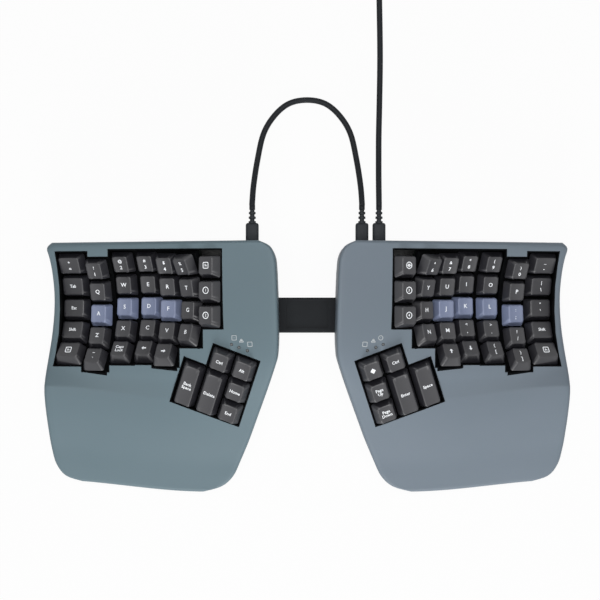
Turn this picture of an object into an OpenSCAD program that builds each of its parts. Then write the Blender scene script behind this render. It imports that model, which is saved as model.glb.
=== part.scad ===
// Split ergonomic keyboard: two tented modules, a bridge plate and two cables
// Sizes are millimetres, the rubber feet stand on z = 0 and the rear is +y
// The left module is drawn and the right one is its mirror image

/* [Keys] */
// Spacing of neighbouring keys
pitch = 19.05; // [18.8:0.05:19.5]
// Width of a single cap at its foot
cap_base = 18; // [17:0.1:18.2]
// Depth of a single cap at its foot
cap_depth = 17.6; // [17:0.1:18.2]
// Narrowing of a cap from side to side
cap_taper = 5.4; // [4:0.2:6]
// Narrowing of a cap from front to rear
cap_taper_depth = 3.8; // [3:0.2:4.6]
// Cap height
cap_height = 7.8; // [7:0.1:8.2]
// Cap top above the switch plate
key_height = 13.5; // [13.2:0.1:14.2]
// Rearward shift of a finger cap top
cap_shift = 1; // [0:0.1:1.2]
// Travel of a key
travel = 4; // [3:0.1:4]

/* [Finger wells] */
// Sideways tilt of the five outer columns
tent = 17; // [16:0.5:18]
// Angle between neighbouring rows
row_step = 15.4; // [15:0.1:15.8]
// Rearward lean of the home row
row_lean = 2.7; // [2:0.1:3.4]
// Radius through the cap tops of a column
top_radius = 65; // [63:0.5:67]
// Outer column from the centre line
home_x = 189; // [188:0.5:190]
// Top of the outer home key above the table
home_z = 28; // [27.5:0.5:30]
// Extra tilt of the first inner column
inner_tilt = 18; // [16:1:20]
// Tilt of the last inner column against the one before it
last_tilt = -5; // [-6:1:-4]
// Row spacing of the last inner column
flat_pitch = 19.6; // [19.2:0.1:20]

/* [Thumb wells] */
// Cluster centre from the centre line
thumb_x = 75; // [74:0.5:76]
// Cluster centre in front of the origin
thumb_y = 13; // [12:0.5:14]
// Cap tops at the cluster centre
thumb_z = 57; // [56:0.5:58]
// Turn of the cluster seen from above
thumb_turn = 20.5; // [19.5:0.5:21.5]
// Fall of the cluster toward the user
thumb_fall = 18; // [16:0.5:19]
// Rise of the cluster toward the middle
thumb_rise = 6.5; // [6:0.5:8]

/* [Case] */
// Wall of the top case
case_wall = 2.6; // [2.2:0.1:3]
// Radius of the deck edge
edge_round = 3; // [2:0.25:3.5]
// Height of the parting line
part_line = 6; // [5.6:0.1:6.6]
// Thickness of the base floor
floor_thick = 2.5; // [2.2:0.1:2.8]
// Rubber foot below the base
foot_rise = 1.2; // [1:0.1:1.5]
// Rubber foot radius
foot_radius = 6; // [4:0.5:7]
// Switch plate
plate_thick = 1.6; // [1.4:0.1:1.8]
// Rim of a well in its opening
rim_thick = 0.8; // [0.7:0.1:1]
// Space between a cap and the rim
key_clear = 0.5; // [0.4:0.05:0.6]
// Fit between joined pieces
fit = 0.2; // [0.15:0.05:0.25]

/* [Bridge] */
// Bridge depth from front to rear
bridge_depth = 28.8; // [24:0.2:30]
// Bridge height
bridge_thick = 7; // [5:0.5:8]
// Length of a bridge tongue inside a module
bridge_tongue = 11; // [9:0.5:12]

/* [Tent feet] */
// Length of the middle foot
mid_length = 34; // [28:1:36]
// Length of the high foot
high_length = 48; // [42:1:50]
// Width of a foot
foot_width = 26; // [20:1:30]
// Gap between the two folded feet, where the release button sits
foot_apart = 10; // [9:0.5:14]
// Thickness of a foot
foot_thick = 3.6; // [3.2:0.1:3.8]

/* [Cables] */
// Cable diameter
cord = 4.8; // [4:0.1:4.9]
// Turns in the coil, shared by four layers
coil_turns = 10; // [8:2:12]
// Spacing of neighbouring strands
strand_pitch = 5.4; // [5.35:0.05:5.6]
// Inner mid-strand radius of the coil
coil_inner = 20; // [20:0.5:22]

/* [Hidden] */
// Node to draw
row_count = [5, 5, 5, 5, 5, 4, 3];
// Columns from the outside in: drop below the tent plane and centre along y
col_drop = [0, 0.5, 9, 14, 8.5];
col_y = [49, 44.5, 50, 50.5, 48.5, 47.5, 60];
// Steps of the two inner columns in key spacings
inner_run = [0.852, 0.793];
inner_climb = [0.515, 0.682];
col_u = [0, 1.125 * pitch, 2.125 * pitch, 3.125 * pitch, 4.125 * pitch];
outer_x = [for (c = [0:4]) -home_x + col_u[c] * cos(tent) + col_drop[c] * sin(tent)];
outer_z = [for (c = [0:4]) home_z + col_u[c] * sin(tent) - col_drop[c] * cos(tent)];
next_x = outer_x[4] + inner_run[0] * pitch;
next_z = outer_z[4] + inner_climb[0] * pitch;
col_x = concat(outer_x, [next_x, next_x + inner_run[1] * pitch]);
col_z = concat(outer_z, [next_z, next_z + inner_climb[1] * pitch]);
next_tilt = tent + inner_tilt;
col_roll = [tent, tent, tent, tent, tent, next_tilt, next_tilt + last_tilt];
// Plate reach on the outer and inner side of a column
half = pitch / 2 + 0.15;
wide_half = 0.625 * pitch + 0.15;
reach_out = [wide_half + 3, half, half, half, half, half, 8.4];
reach_in = [wide_half, half, half, half, half, half - 0.5, 8];
web_deep = [22, 22, 22, 22, 22, 6, 6];
// Columns with a wall down to a neighbour, and on which side
web_pairs = [[0, 1], [1, -1], [1, 1], [2, 1], [4, -1], [5, -1], [6, -1]];
board_end = 7.4;
board_half = 7.8;
board_thick = 1.2;

// Cap and switch details
cap_wall = 1.2;
cap_roof = 1.6;
cap_corner = 1.5;
dish_depth = 0.5;
dish_rim = 2.6;
cap_low = key_height - cap_height;
slider_w = 7;
slider_d = 5.2;
slider_low = 0.4;
slider_gap = 0.3;
slot_low = slider_low - travel - slider_gap;
housing_half = 6.9;
housing_low = 5;
housing_top = 6;
block_w = 10.4;
block_d = 10;
flange_half = 7.8;
flange_top = 0.7;
hole_half = housing_half + fit;
seat = 0.03;

// Keys whose travel passes the outline of their well
edge_keys = concat([for (c = [0:3]) [c, 0]], [for (c = [0:4]) [c, 4]], [[5, 3], [6, 0], [6, 1], [6, 2]]);
edge_thumbs = [0, 1, 4];
press_clear = 0.35;
press_low = cap_low - travel - press_clear;
press_high = cap_low + 0.2;

// Thumb keys: place across, place along and depth in key spacings
thumb_spots = [[0, 1, 1], [1, 1, 1], [1, 0, 1], [1, -1, 1], [-1, -0.5, 2], [0, -0.5, 2]];
thumb_cells = [[-0.5, 1.5], [1.5, 1.5], [1.5, -1.5], [-1.5, -1.5], [-1.5, 0.5], [-0.5, 0.5]];
thumb_margin = 1.2;
thumb_clear = key_clear - 0.3;
bar_slot_w = 1.6;
bar_slot_long = 28;
thumb_lean = [-1.2, -1.6];

// Deck rows from rear to front: outer x y z, inner x y z, bow, bend
deck_rows = [
    [-205.8, 99.6, 35.5, -38.5, 100.2, 70, 0, 0.95],
    [-209.8, 95, 36, -29.5, 95.8, 71, 0, 0.95],
    [-207.8, 87, 35.8, -25.4, 88, 71.5, 0, 0.95],
    [-205.7, 76, 35, -24.2, 76, 71.5, 0, 0.95],
    [-204.2, 60, 34, -23.6, 60, 71.5, 0, 0.95],
    [-204.3, 44, 33.5, -23.1, 44, 71, 0, 0.95],
    [-205.8, 27, 33.5, -22.8, 29, 70, 0, 1],
    [-207.8, 12, 35, -23, 17, 68, -2, 1.1],
    [-209.6, -1, 37.5, -23.8, 7, 65, -7, 1.2],
    [-210.4, -9, 40, -26.4, -2, 61.5, -10, 1.5],
    [-210.8, -15.6, 42, -30, -13, 56.5, -12, 2.2],
    [-210.9, -23, 41, -34, -24.5, 51.5, -11.5, 2.4],
    [-210.2, -36, 38, -40, -41, 45, -9, 2.4],
    [-208.9, -52, 33, -46.5, -59, 38.5, -6, 2.2],
    [-207.4, -66, 28, -54, -77, 32, -3, 1.8],
    [-204.2, -80, 24, -60, -89.5, 28.5, -1, 1.6],
    [-196.8, -90, 21, -69.5, -98.2, 25.5, -1.2, 1.6],
    [-183, -94.8, 19.5, -85, -102.8, 23.5, -1.2, 1.6]
];
last_row = len(deck_rows) - 1;
deck_cols = 10;
base_z = foot_rise;
floor_top = foot_rise + floor_thick;

// Fixings seen from above
screw_spots = [[-200, -14], [-140, -82], [-74, -80], [-35, 90], [-32, 13], [-120, -50]];
screw_radius = 1.3;
screw_head = 2.6;
boss_radius = 3.8;
lip_rise = 2.4;
lip_thick = 1.4;
foot_spots = [[-190, 84], [-186, -74], [-98, -86], [-52, 4], [-104, 90]];
foot_seat = 0.8;
light_rows = [[6.71, 0.801], [6.89, 0.833], [7.1, 0.87]];
light_radius = 0.9;

// Board and sockets in the rear wall
main_board = [-110, -40.5, 54, 96.6];
post_x = [-104, -58];
post_y = [60, 90];
post_radius = 3;
board_z = 9.5;
main_thick = 1.55;
link_x = 45;
usb_x = 59;
socket_z = 13;
socket_w = 9.2;
socket_h = 3.8;
socket_in_w = 8.6;
socket_in_h = 3;
socket_long = 7.4;
rear_y = 100.2;

// Bridge, tent feet and release button
bridge_y = 41;
bridge_z = 9;
bridge_gap = 0.3;
peg_radius = 2;
peg_x = 29;
peg_y = 9;
bridge_panel = 34;
bridge_border = 3.5;
bridge_bevel = 1.8;
hinge_x = -31;
hinge_z = foot_rise + 0.2 + foot_thick / 2;
pin_radius = 1.4;
pin_long = 3;
turn_gap = 0.4;
pocket_wall = 1.6;
pocket_roof = 1.4;
knuckle_long = 7;
knuckle_wide = 4.4;
knuckle_rise = 3.4;
knuckle_off = 2.6;
button_spot = [-52, 53];
mid_y = button_spot[1] + (foot_width + foot_apart) / 2;
high_y = button_spot[1] - (foot_width + foot_apart) / 2;
button_long = 9;
button_wide = 5;
button_travel = 1.5;
button_top = floor_top;

// Cable routes
plug_long = 16;
plug_w = 10.6;
plug_h = 6.6;
tip_w = 8.1;
tip_h = 2.4;
tip_long = 6;
boot_long = 11;
boot_w = 6;
plug_y = rear_y + 0.4;
cord_y = plug_y + plug_long + boot_long;
cord_r = cord / 2;
lie = cord_r + 0.2;
link_half = [[-15, 216, lie], [-27, 206, lie], [-36, 191, lie], [4 - link_x, 169, 4], [1 - link_x, 148, 9],
    [-link_x, cord_y + 6, socket_z], [-link_x, cord_y + 3, socket_z], [-link_x, cord_y, socket_z]];
link_path = concat([for (i = [len(link_half) - 1:-1:0]) link_half[i]], [[0, 219, lie]],
    [for (p = link_half) [-p[0], p[1], p[2]]]);
coil_y = 372;
tie_thick = 1;
coil_low = tie_thick + 0.3 + cord_r;
usb_path = [[usb_x, cord_y, socket_z], [usb_x, cord_y + 3, socket_z], [usb_x, cord_y + 6, socket_z],
    [usb_x, 152, 9],
    [usb_x + 0.2, 170, 4.8], [usb_x + 0.4, 190, 2.9], [usb_x + 1, 218, lie], [usb_x + 1.5, 255, lie],
    [usb_x + 1, 295, lie], [usb_x + 0.2, 335, coil_low], [usb_x, coil_y - 8, coil_low],
    [usb_x, coil_y - 0.02, coil_low]];
layer_turns = coil_turns / 4;
coil_outer = coil_inner + layer_turns * strand_pitch;
coil_x = usb_x - coil_outer;
tail_z = coil_low + 3 * strand_pitch;
coil_mid = coil_y + cord;
host_x = usb_x + 2;
host_y = 466;
host_z = 4.2;
host_w = 15.6;
host_h = 8;
host_long = 24;
host_tip_w = 12;
host_tip_h = 4.5;
host_tip_long = 12;
host_boot = 10;
tail_path = [[usb_x, coil_mid + 6, tail_z - 0.4], [usb_x + 0.6, coil_mid + 21, tail_z - 5],
    [usb_x + 1.5, 414, 8], [host_x, 432, 4], [host_x, 448, host_z], [host_x, host_y, host_z]];

left_tone = "#6f7f84";
right_tone = "#78828c";
key_tone = "#3a393d";
accent_tone = "#8a93b0";
black = "#15171a";

// Places of the keys

function row_angle(c, r) = c == 6 ? 0 : (2 - r) * row_step - row_lean;
function row_place(c, r) = c == 6 ? (1 - r) * flat_pitch : 0;
function key_units(c) = c == 0 ? 1.25 : 1;
function cap_width(c) = cap_base + (key_units(c) - 1) * pitch;

module at_column(c) {
    translate([col_x[c], col_y[c], col_z[c]]) rotate([0, -col_roll[c], 0]) children();
}

module at_key(c, r) {
    at_column(c) translate([0, row_place(c, r), top_radius]) rotate([row_angle(c, r), 0, 0])
        translate([0, 0, -top_radius - key_height]) children();
}

module at_thumb_plane() {
    translate([-thumb_x, -thumb_y, thumb_z]) rotate([thumb_fall, -thumb_rise, -thumb_turn])
        translate([0, 0, -key_height]) children();
}

module at_thumb(k) {
    at_thumb_plane() translate([thumb_spots[k][0] * pitch, thumb_spots[k][1] * pitch, 0]) children();
}

module finger_keys() {
    for (c = [0:6]) for (r = [0:row_count[c] - 1]) at_key(c, r) children();
}

module each_key() {
    finger_keys() children();
    for (k = [0:5]) at_thumb(k) children();
}

// A point of a key seen from above
function key_point(c, r, p) =
    let (a = row_angle(c, r), h = p[2] - top_radius - key_height,
        n = top_radius + p[1] * sin(a) + h * cos(a))
    [col_x[c] + p[0] * cos(col_roll[c]) - n * sin(col_roll[c]),
        col_y[c] + row_place(c, r) + p[1] * cos(a) - h * sin(a)];

function foot_corner(c, r, su, sv) =
    key_point(c, r, [su * cap_width(c) / 2, sv * cap_depth / 2, cap_low]);

function front_y(c) = foot_corner(c, row_count[c] - 1, 0, -1)[1];
function own_rear_y(c) = foot_corner(c, 0, 0, 1)[1];
straight_rear = max([for (c = [2:6]) own_rear_y(c)]);
function rear_edge(c) = c < 2 ? own_rear_y(c) : straight_rear;
function front_right(c) = max([for (v = [-1, 1]) foot_corner(c, row_count[c] - 1, 1, v)[0]]);
function front_left(c) = min([for (v = [-1, 1]) foot_corner(c, row_count[c] - 1, -1, v)[0]]);
function front_step(c) = front_y(c + 1) > front_y(c) ? front_right(c) : front_left(c + 1);
function rear_step(c) = rear_edge(c + 1) > rear_edge(c)
    ? min([for (v = [-1, 1]) foot_corner(c + 1, 0, -1, v)[0]])
    : max([for (v = [-1, 1]) foot_corner(c, 0, 1, v)[0]]);

// Outline of the caps in the finger well
well_outline = concat(
    [foot_corner(0, 0, -1, 1)],
    [for (r = [0:4]) foot_corner(0, r, -1, 0)],
    [foot_corner(0, 4, -1, -1)],
    [for (c = [0:5]) for (side = [0, 1]) [front_step(c), front_y(c + side)]],
    [[foot_corner(6, 2, 1, -1)[0], front_y(6)], [foot_corner(6, 0, 1, 1)[0], straight_rear]],
    [for (c = [5:-1:0]) for (side = [1, 0]) [rear_step(c), rear_edge(c + side)]]);

function thumb_point(p) =
    let (x = p[0], z = p[2] - key_height,
        y1 = p[1] * cos(thumb_fall) - z * sin(thumb_fall),
        z1 = p[1] * sin(thumb_fall) + z * cos(thumb_fall),
        x2 = x * cos(thumb_rise) - z1 * sin(thumb_rise))
    [-thumb_x + x2 * cos(thumb_turn) + y1 * sin(thumb_turn),
        -thumb_y - x2 * sin(thumb_turn) + y1 * cos(thumb_turn)];

thumb_outline = [for (q = thumb_cells) thumb_point([q[0] * pitch, q[1] * pitch, cap_low])];

// Lofts

function flat(lists) = [for (l = lists) each l];

module loft(rings) {
    n = len(rings[0]);
    m = len(rings);
    polyhedron(flat(rings), concat(
        [[for (j = [0:n - 1]) j]],
        [for (i = [0:m - 2]) for (j = [0:n - 1])
            [(i + 1) * n + j, (i + 1) * n + (j + 1) % n, i * n + (j + 1) % n, i * n + j]],
        [[for (j = [n - 1:-1:0]) (m - 1) * n + j]]));
}

function unit(v) = v / norm(v);
function along(pts, i) = unit(pts[min(i + 1, len(pts) - 1)] - pts[max(i - 1, 0)]);

function tube_ring(p, t, radius, sides) =
    let (e = unit(cross(t, [0, 0, 1])), f = cross(t, e))
    [for (k = [0:sides - 1]) let (a = 360 * k / sides) p + radius * (e * cos(a) + f * sin(a))];

module tube(pts, radius, sides) {
    loft([for (i = [0:len(pts) - 1]) tube_ring(pts[i], along(pts, i), radius, sides)]);
}

function curve(pts, steps) = concat(
    [for (i = [0:len(pts) - 2]) for (k = [0:steps - 1])
        let (a = pts[max(i - 1, 0)], b = pts[i], c = pts[i + 1], d = pts[min(i + 2, len(pts) - 1)],
            t = k / steps)
        0.5 * (2 * b + (c - a) * t + (2 * a - 5 * b + 4 * c - d) * t * t
            + (3 * b - a - 3 * c + d) * t * t * t)],
    [pts[len(pts) - 1]]);

// Deck surface, i counts rows from the rear and s runs from outside to inside

function mix(a, b, t) = a + (b - a) * t;
function row_at(i) =
    let (k = min(floor(i), last_row - 1), t = i - k)
    [for (q = [0:7]) mix(deck_rows[k][q], deck_rows[k + 1][q], t)];
function deck_point(i, s) =
    let (w = row_at(i))
    [mix(w[0], w[3], s), mix(w[1], w[4], s) + w[6] * 6.75 * s * s * (1 - s),
        mix(w[2], w[5], pow(s, w[7]))];

rim_steps = concat(
    [for (j = [0:deck_cols - 1]) [0, j]],
    [for (i = [0:last_row - 1]) [i, deck_cols]],
    [for (j = [deck_cols:-1:1]) [last_row, j]],
    [for (i = [last_row:-1:1]) [i, 0]]);
rim_count = len(rim_steps);
rim = [for (q = rim_steps) deck_point(q[0], q[1] / deck_cols)];
function rim_normal(k) =
    let (a = rim[(k + rim_count - 1) % rim_count], b = rim[k], c = rim[(k + 1) % rim_count],
        u = unit([b[0] - a[0], b[1] - a[1]]), v = unit([c[0] - b[0], c[1] - b[1]]), w = unit(u + v))
    [w[1], -w[0]] / max(0.5, w * v);
rim_out = [for (k = [0:rim_count - 1]) -rim_normal(k)];
function rim_inset(k, d) = [rim[k][0] - rim_out[k][0] * d, rim[k][1] - rim_out[k][1] * d];
function outline(d) = [for (k = [0:rim_count - 1]) rim_inset(k, d)];
function rim_ring(d, drop) = [for (k = [0:rim_count - 1])
    let (p = rim_inset(k, d)) [p[0], p[1], rim[k][2] - drop]];
function rim_index(i, j) = i == 0 ? j : j == deck_cols ? deck_cols + i
    : i == last_row ? deck_cols + last_row + deck_cols - j : 2 * (deck_cols + last_row) - i;
function on_rim(i, j) = i == 0 || j == 0 || i == last_row || j == deck_cols;

// Solid under the deck, drawn in by d at the sides and lowered by drop
module under_deck(d, drop, low, round) {
    n = rim_count;
    rings = concat([[for (p = outline(d)) [p[0], p[1], low]]],
        round > 0 ? [rim_ring(d, drop + round), rim_ring(d + round * 0.3, drop + round * 0.3)] : [],
        [rim_ring(d + round, drop)]);
    m = len(rings);
    inner = [for (i = [1:last_row - 1]) for (j = [1:deck_cols - 1])
        deck_point(i, j / deck_cols) - [0, 0, drop]];
    top = (m - 1) * n;
    function spot(i, j) = on_rim(i, j) ? top + rim_index(i, j) % n
        : m * n + (i - 1) * (deck_cols - 1) + j - 1;
    polyhedron(concat(flat(rings), inner), concat(
        [[for (j = [n - 1:-1:0]) j]],
        [for (i = [0:m - 2]) for (j = [0:n - 1]) for (h = [0, 1])
            h == 0 ? [i * n + j, i * n + (j + 1) % n, (i + 1) * n + j]
                : [i * n + (j + 1) % n, (i + 1) * n + (j + 1) % n, (i + 1) * n + j]],
        [for (i = [0:last_row - 1]) for (j = [0:deck_cols - 1]) for (h = [0, 1])
            h == 0 ? [spot(i, j), spot(i, j + 1), spot(i + 1, j)]
                : [spot(i, j + 1), spot(i + 1, j + 1), spot(i + 1, j)]]));
}

// Keys and switches

function octagon(w, d, c, z, y) = [[-w / 2 + c, y - d / 2, z], [w / 2 - c, y - d / 2, z],
    [w / 2, y - d / 2 + c, z], [w / 2, y + d / 2 - c, z], [w / 2 - c, y + d / 2, z],
    [-w / 2 + c, y + d / 2, z], [-w / 2, y + d / 2 - c, z], [-w / 2, y - d / 2 + c, z]];

module key(w, d, shift) {
    tw = w - cap_taper;
    td = d - cap_taper_depth;
    loft([
        octagon(tw - 2 * cap_wall, td - 2 * cap_wall, cap_corner, key_height - cap_roof, shift),
        octagon(w - 2 * cap_wall, d - 2 * cap_wall, cap_corner, cap_low, 0),
        octagon(w, d, cap_corner, cap_low, 0),
        octagon(tw, td, cap_corner, key_height, shift),
        octagon(tw - dish_rim, td - dish_rim, cap_corner, key_height - dish_depth, shift)]);
    translate([-slider_w / 2, -slider_d / 2, slider_low])
        cube([slider_w, slider_d, key_height - cap_roof - slider_low + 0.2]);
}

function thumb_depth(k) = cap_depth + (thumb_spots[k][2] - 1) * pitch;

module finger_key(c, r) {
    at_key(c, r) key(cap_width(c), cap_depth, cap_shift);
}

module thumb_key(k) {
    at_thumb(k) key(cap_base, thumb_depth(k), 0);
}

// Room that the foot of a pressed cap sweeps, grown at the sides
module swept(w, d, grow, low, high) {
    translate([-w / 2 - grow, -d / 2 - grow, low]) cube([w + 2 * grow, d + 2 * grow, high - low]);
}

module finger_sweeps(grow, low, high) {
    for (q = edge_keys) at_key(q[0], q[1])
        swept(cap_width(q[0]), cap_depth, press_clear + grow, low, high);
}

module thumb_sweeps(grow, low, high) {
    for (k = edge_thumbs) at_thumb(k) swept(cap_base, thumb_depth(k), press_clear + grow, low, high);
}

module switch_housing() {
    difference() {
        union() {
            rotate([90, 0, 0]) linear_extrude(2 * housing_half, center = true)
                polygon([[-housing_half, -housing_low], [housing_half, -housing_low],
                    [housing_half, seat], [flange_half, seat],
                    [flange_half, flange_top], [-flange_half, flange_top],
                    [-flange_half, seat], [-housing_half, seat]]);
            translate([-block_w / 2, -block_d / 2, 0.5]) cube([block_w, block_d, housing_top - 0.5]);
        }
        translate([-slider_w / 2 - slider_gap, -slider_d / 2 - slider_gap, slot_low])
            cube([slider_w + 2 * slider_gap, slider_d + 2 * slider_gap, 20]);
    }
}

// Wells

function arc_point(a, radius) = [radius * sin(a), top_radius - radius * cos(a)];
function floor_line(c, depth, ends) =
    let (last = row_count[c] - 1, a = row_angle(c, 0), b = row_angle(c, last),
        radius = top_radius + depth)
    c == 6 ? [[flat_pitch + ends[0], -depth], [-flat_pitch - ends[1], -depth]]
    : concat([arc_point(a, radius) + ends[0] * [cos(a), sin(a)]],
        [for (r = [0:last - 1]) arc_point(row_angle(c, r) - row_step / 2, radius / cos(row_step / 2))],
        [arc_point(b, radius) - ends[1] * [cos(b), sin(b)]]);

// Length of a plate past its end rows, out to the far side of the rim
rim_reach = key_clear + rim_thick + 0.6;
function plate_ends(c) =
    let (last = row_count[c] - 1, a = row_angle(c, 0), b = row_angle(c, last),
        radius = top_radius + key_height)
    [c > 4 ? 8.2 : (rear_edge(c) + rim_reach - col_y[c] - row_place(c, 0) - radius * sin(a)) / cos(a),
        (col_y[c] + row_place(c, last) + radius * sin(b) - front_y(c) + rim_reach) / cos(b)];
function backwards(l) = [for (i = [len(l) - 1:-1:0]) l[i]];

// Strip that follows a column, from depth a to depth b under the cap tops
module strip(c, a, b, ends, out, in) {
    at_column(c) translate([-out, 0, 0]) rotate([90, 0, 90]) linear_extrude(out + in)
        polygon(concat(floor_line(c, a, ends), backwards(floor_line(c, b, ends))));
}

// Everything below a depth of a column
module below(c, depth, out, in) {
    line = floor_line(c, depth, [40, 40]);
    at_column(c) translate([-out, 0, 0]) rotate([90, 0, 90]) linear_extrude(out + in)
        polygon(concat(line, [[line[len(line) - 1][0], -120], [line[0][0], -120]]));
}

mid_plate = key_height + plate_thick / 2;

// Wall under the edge of a column, down to the plate of its lower neighbour
module web(c, side) {
    thick = 1;
    edge = side < 0 ? reach_out[c] - 0.05 : reach_in[c] - 0.05;
    other = c + side;
    difference() {
        intersection() {
            strip(c, mid_plate, mid_plate + web_deep[c], plate_ends(c) - [0.3, 0.3],
                side < 0 ? edge : thick - edge, side < 0 ? thick - edge : edge);
            under_deck(case_wall, case_wall, 0, 0);
        }
        below(other, mid_plate, reach_out[other] + 12, reach_in[other] + 12);
    }
}

module prism(pts, grow) {
    linear_extrude(100) offset(delta = grow) polygon(pts);
}

module switch_hole() {
    hull() for (z = [-plate_thick - 4, 0]) translate([-hole_half, -hole_half, z])
        cube([2 * hole_half, 2 * hole_half, 1]);
}

module flange_space() {
    translate([-flange_half - fit, -hole_half, -0.3])
        cube([2 * (flange_half + fit), 2 * hole_half, flange_top + 0.9]);
}

module key_well() {
    deep = key_height + plate_thick;
    difference() {
        union() {
            for (c = [0:6]) strip(c, key_height, deep, plate_ends(c), reach_out[c], reach_in[c]);
            for (q = web_pairs) web(q[0], q[1]);
            difference() {
                intersection() {
                    union() {
                        prism(well_outline, key_clear + rim_thick);
                        finger_sweeps(rim_thick, -plate_thick / 2, press_high + rim_thick);
                    }
                    under_deck(0.5, 0.2, 0, 0);
                }
                prism(well_outline, key_clear);
                finger_sweeps(0, press_low, press_high);
                for (c = [0:6]) below(c, mid_plate, reach_out[c] + (c == 0 ? 12 : -0.07),
                    reach_in[c] + (c == 4 || c == 6 ? 30 : -0.07));
                finger_keys() flange_space();
            }
        }
        finger_keys() switch_hole();
    }
}

module thumb_plate(low, high, margin) {
    translate([0, 0, low]) linear_extrude(high - low) offset(delta = margin)
        polygon([for (q = thumb_cells) q * pitch + thumb_lean]);
}

module thumb_well() {
    difference() {
        union() {
            at_thumb_plane() thumb_plate(-plate_thick, 0, thumb_margin);
            difference() {
                intersection() {
                    union() {
                        prism(thumb_outline, thumb_clear + rim_thick);
                        thumb_sweeps(rim_thick, -plate_thick / 2, press_high + rim_thick);
                    }
                    under_deck(0.5, 0.2, 0, 0);
                }
                prism(thumb_outline, thumb_clear);
                thumb_sweeps(0, press_low, press_high);
                at_thumb_plane() translate([-80, -80, -120]) cube([160, 160, 120 - plate_thick / 2]);
                for (k = [0:5]) at_thumb(k) flange_space();
            }
        }
        for (k = [0:5]) at_thumb(k) switch_hole();
        for (k = [4, 5]) at_thumb(k) hull() {
            for (z = [-4, 0.5]) translate([-bar_slot_w / 2, -bar_slot_long / 2, z])
                cube([bar_slot_w, bar_slot_long, 1]);
        }
    }
}

// Case

module boss(p) {
    hull() {
        translate([p[0], p[1], part_line]) cylinder(r = boss_radius, h = 1, $fn = 12);
        translate([p[0], p[1], 90]) cylinder(r = boss_radius + 0.4, h = 1, $fn = 12);
    }
}

module top_case(sockets) {
    difference() {
        union() {
            difference() {
                under_deck(0, 0, part_line + 0.05, edge_round);
                under_deck(case_wall, case_wall, 0, 0);
            }
            intersection() {
                under_deck(1, 1, part_line + 0.05, 0);
                for (p = screw_spots) boss(p);
            }
        }
        prism(well_outline, key_clear + rim_thick + fit);
        finger_sweeps(rim_thick + fit, -plate_thick, press_high + rim_thick + fit);
        prism(thumb_outline, thumb_clear + rim_thick + fit);
        thumb_sweeps(rim_thick + fit, -plate_thick, press_high + rim_thick + fit);
        for (p = screw_spots) translate([p[0], p[1], 0]) cylinder(r = screw_radius + 0.3, h = 15, $fn = 8);
        for (q = light_rows) {
            p = deck_point(q[0], q[1]);
            hull() {
                translate([p[0], p[1], p[2] - 12]) cylinder(r = light_radius + 0.5, h = 1, $fn = 12);
                translate([p[0], p[1], p[2] + 2]) cylinder(r = light_radius + 0.3, h = 1, $fn = 12);
            }
        }
        for (x = sockets) translate([-x - socket_w / 2 - fit, rear_y - 8, socket_z - socket_h / 2 - fit])
            cube([socket_w + 2 * fit, 20, socket_h + 2 * fit]);
        translate([-40, bridge_y - bridge_depth / 2 - bridge_gap, 0])
            cube([40, bridge_depth + 2 * bridge_gap, bridge_z + bridge_thick + bridge_gap]);
    }
}

module foot_pocket(length, y, grow, low, high) {
    translate([hinge_x - length - turn_gap - grow, y - foot_width / 2 - turn_gap - grow, low])
        cube([length + foot_thick / 2 + 2 * (turn_gap + grow), foot_width + 2 * (turn_gap + grow),
            high - low]);
}

module hinge_bore(y) {
    translate([hinge_x, y - foot_width / 2 - pin_long - turn_gap, hinge_z]) rotate([-90, 0, 0])
        cylinder(r = pin_radius + 0.3, h = foot_width + 2 * (pin_long + turn_gap), $fn = 32);
}

module hinge_boss(y) {
    high = hinge_z + knuckle_rise;
    for (s = [-1, 1]) translate([hinge_x, y + s * (foot_width / 2 + knuckle_off), (floor_top + high) / 2])
        cube([knuckle_long, knuckle_wide, high - floor_top + fit], center = true);
}

// Space above the parting line that the top case's wall and screw bosses fill
module case_room() {
    translate([0, 0, part_line]) {
        linear_extrude(lip_rise + fit) difference() {
            polygon(outline(-1));
            polygon(outline(case_wall + fit));
        }
        for (p = screw_spots) translate([p[0], p[1], 0])
            cylinder(r = boss_radius + fit, h = lip_rise + fit, $fn = 32);
    }
}

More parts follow.
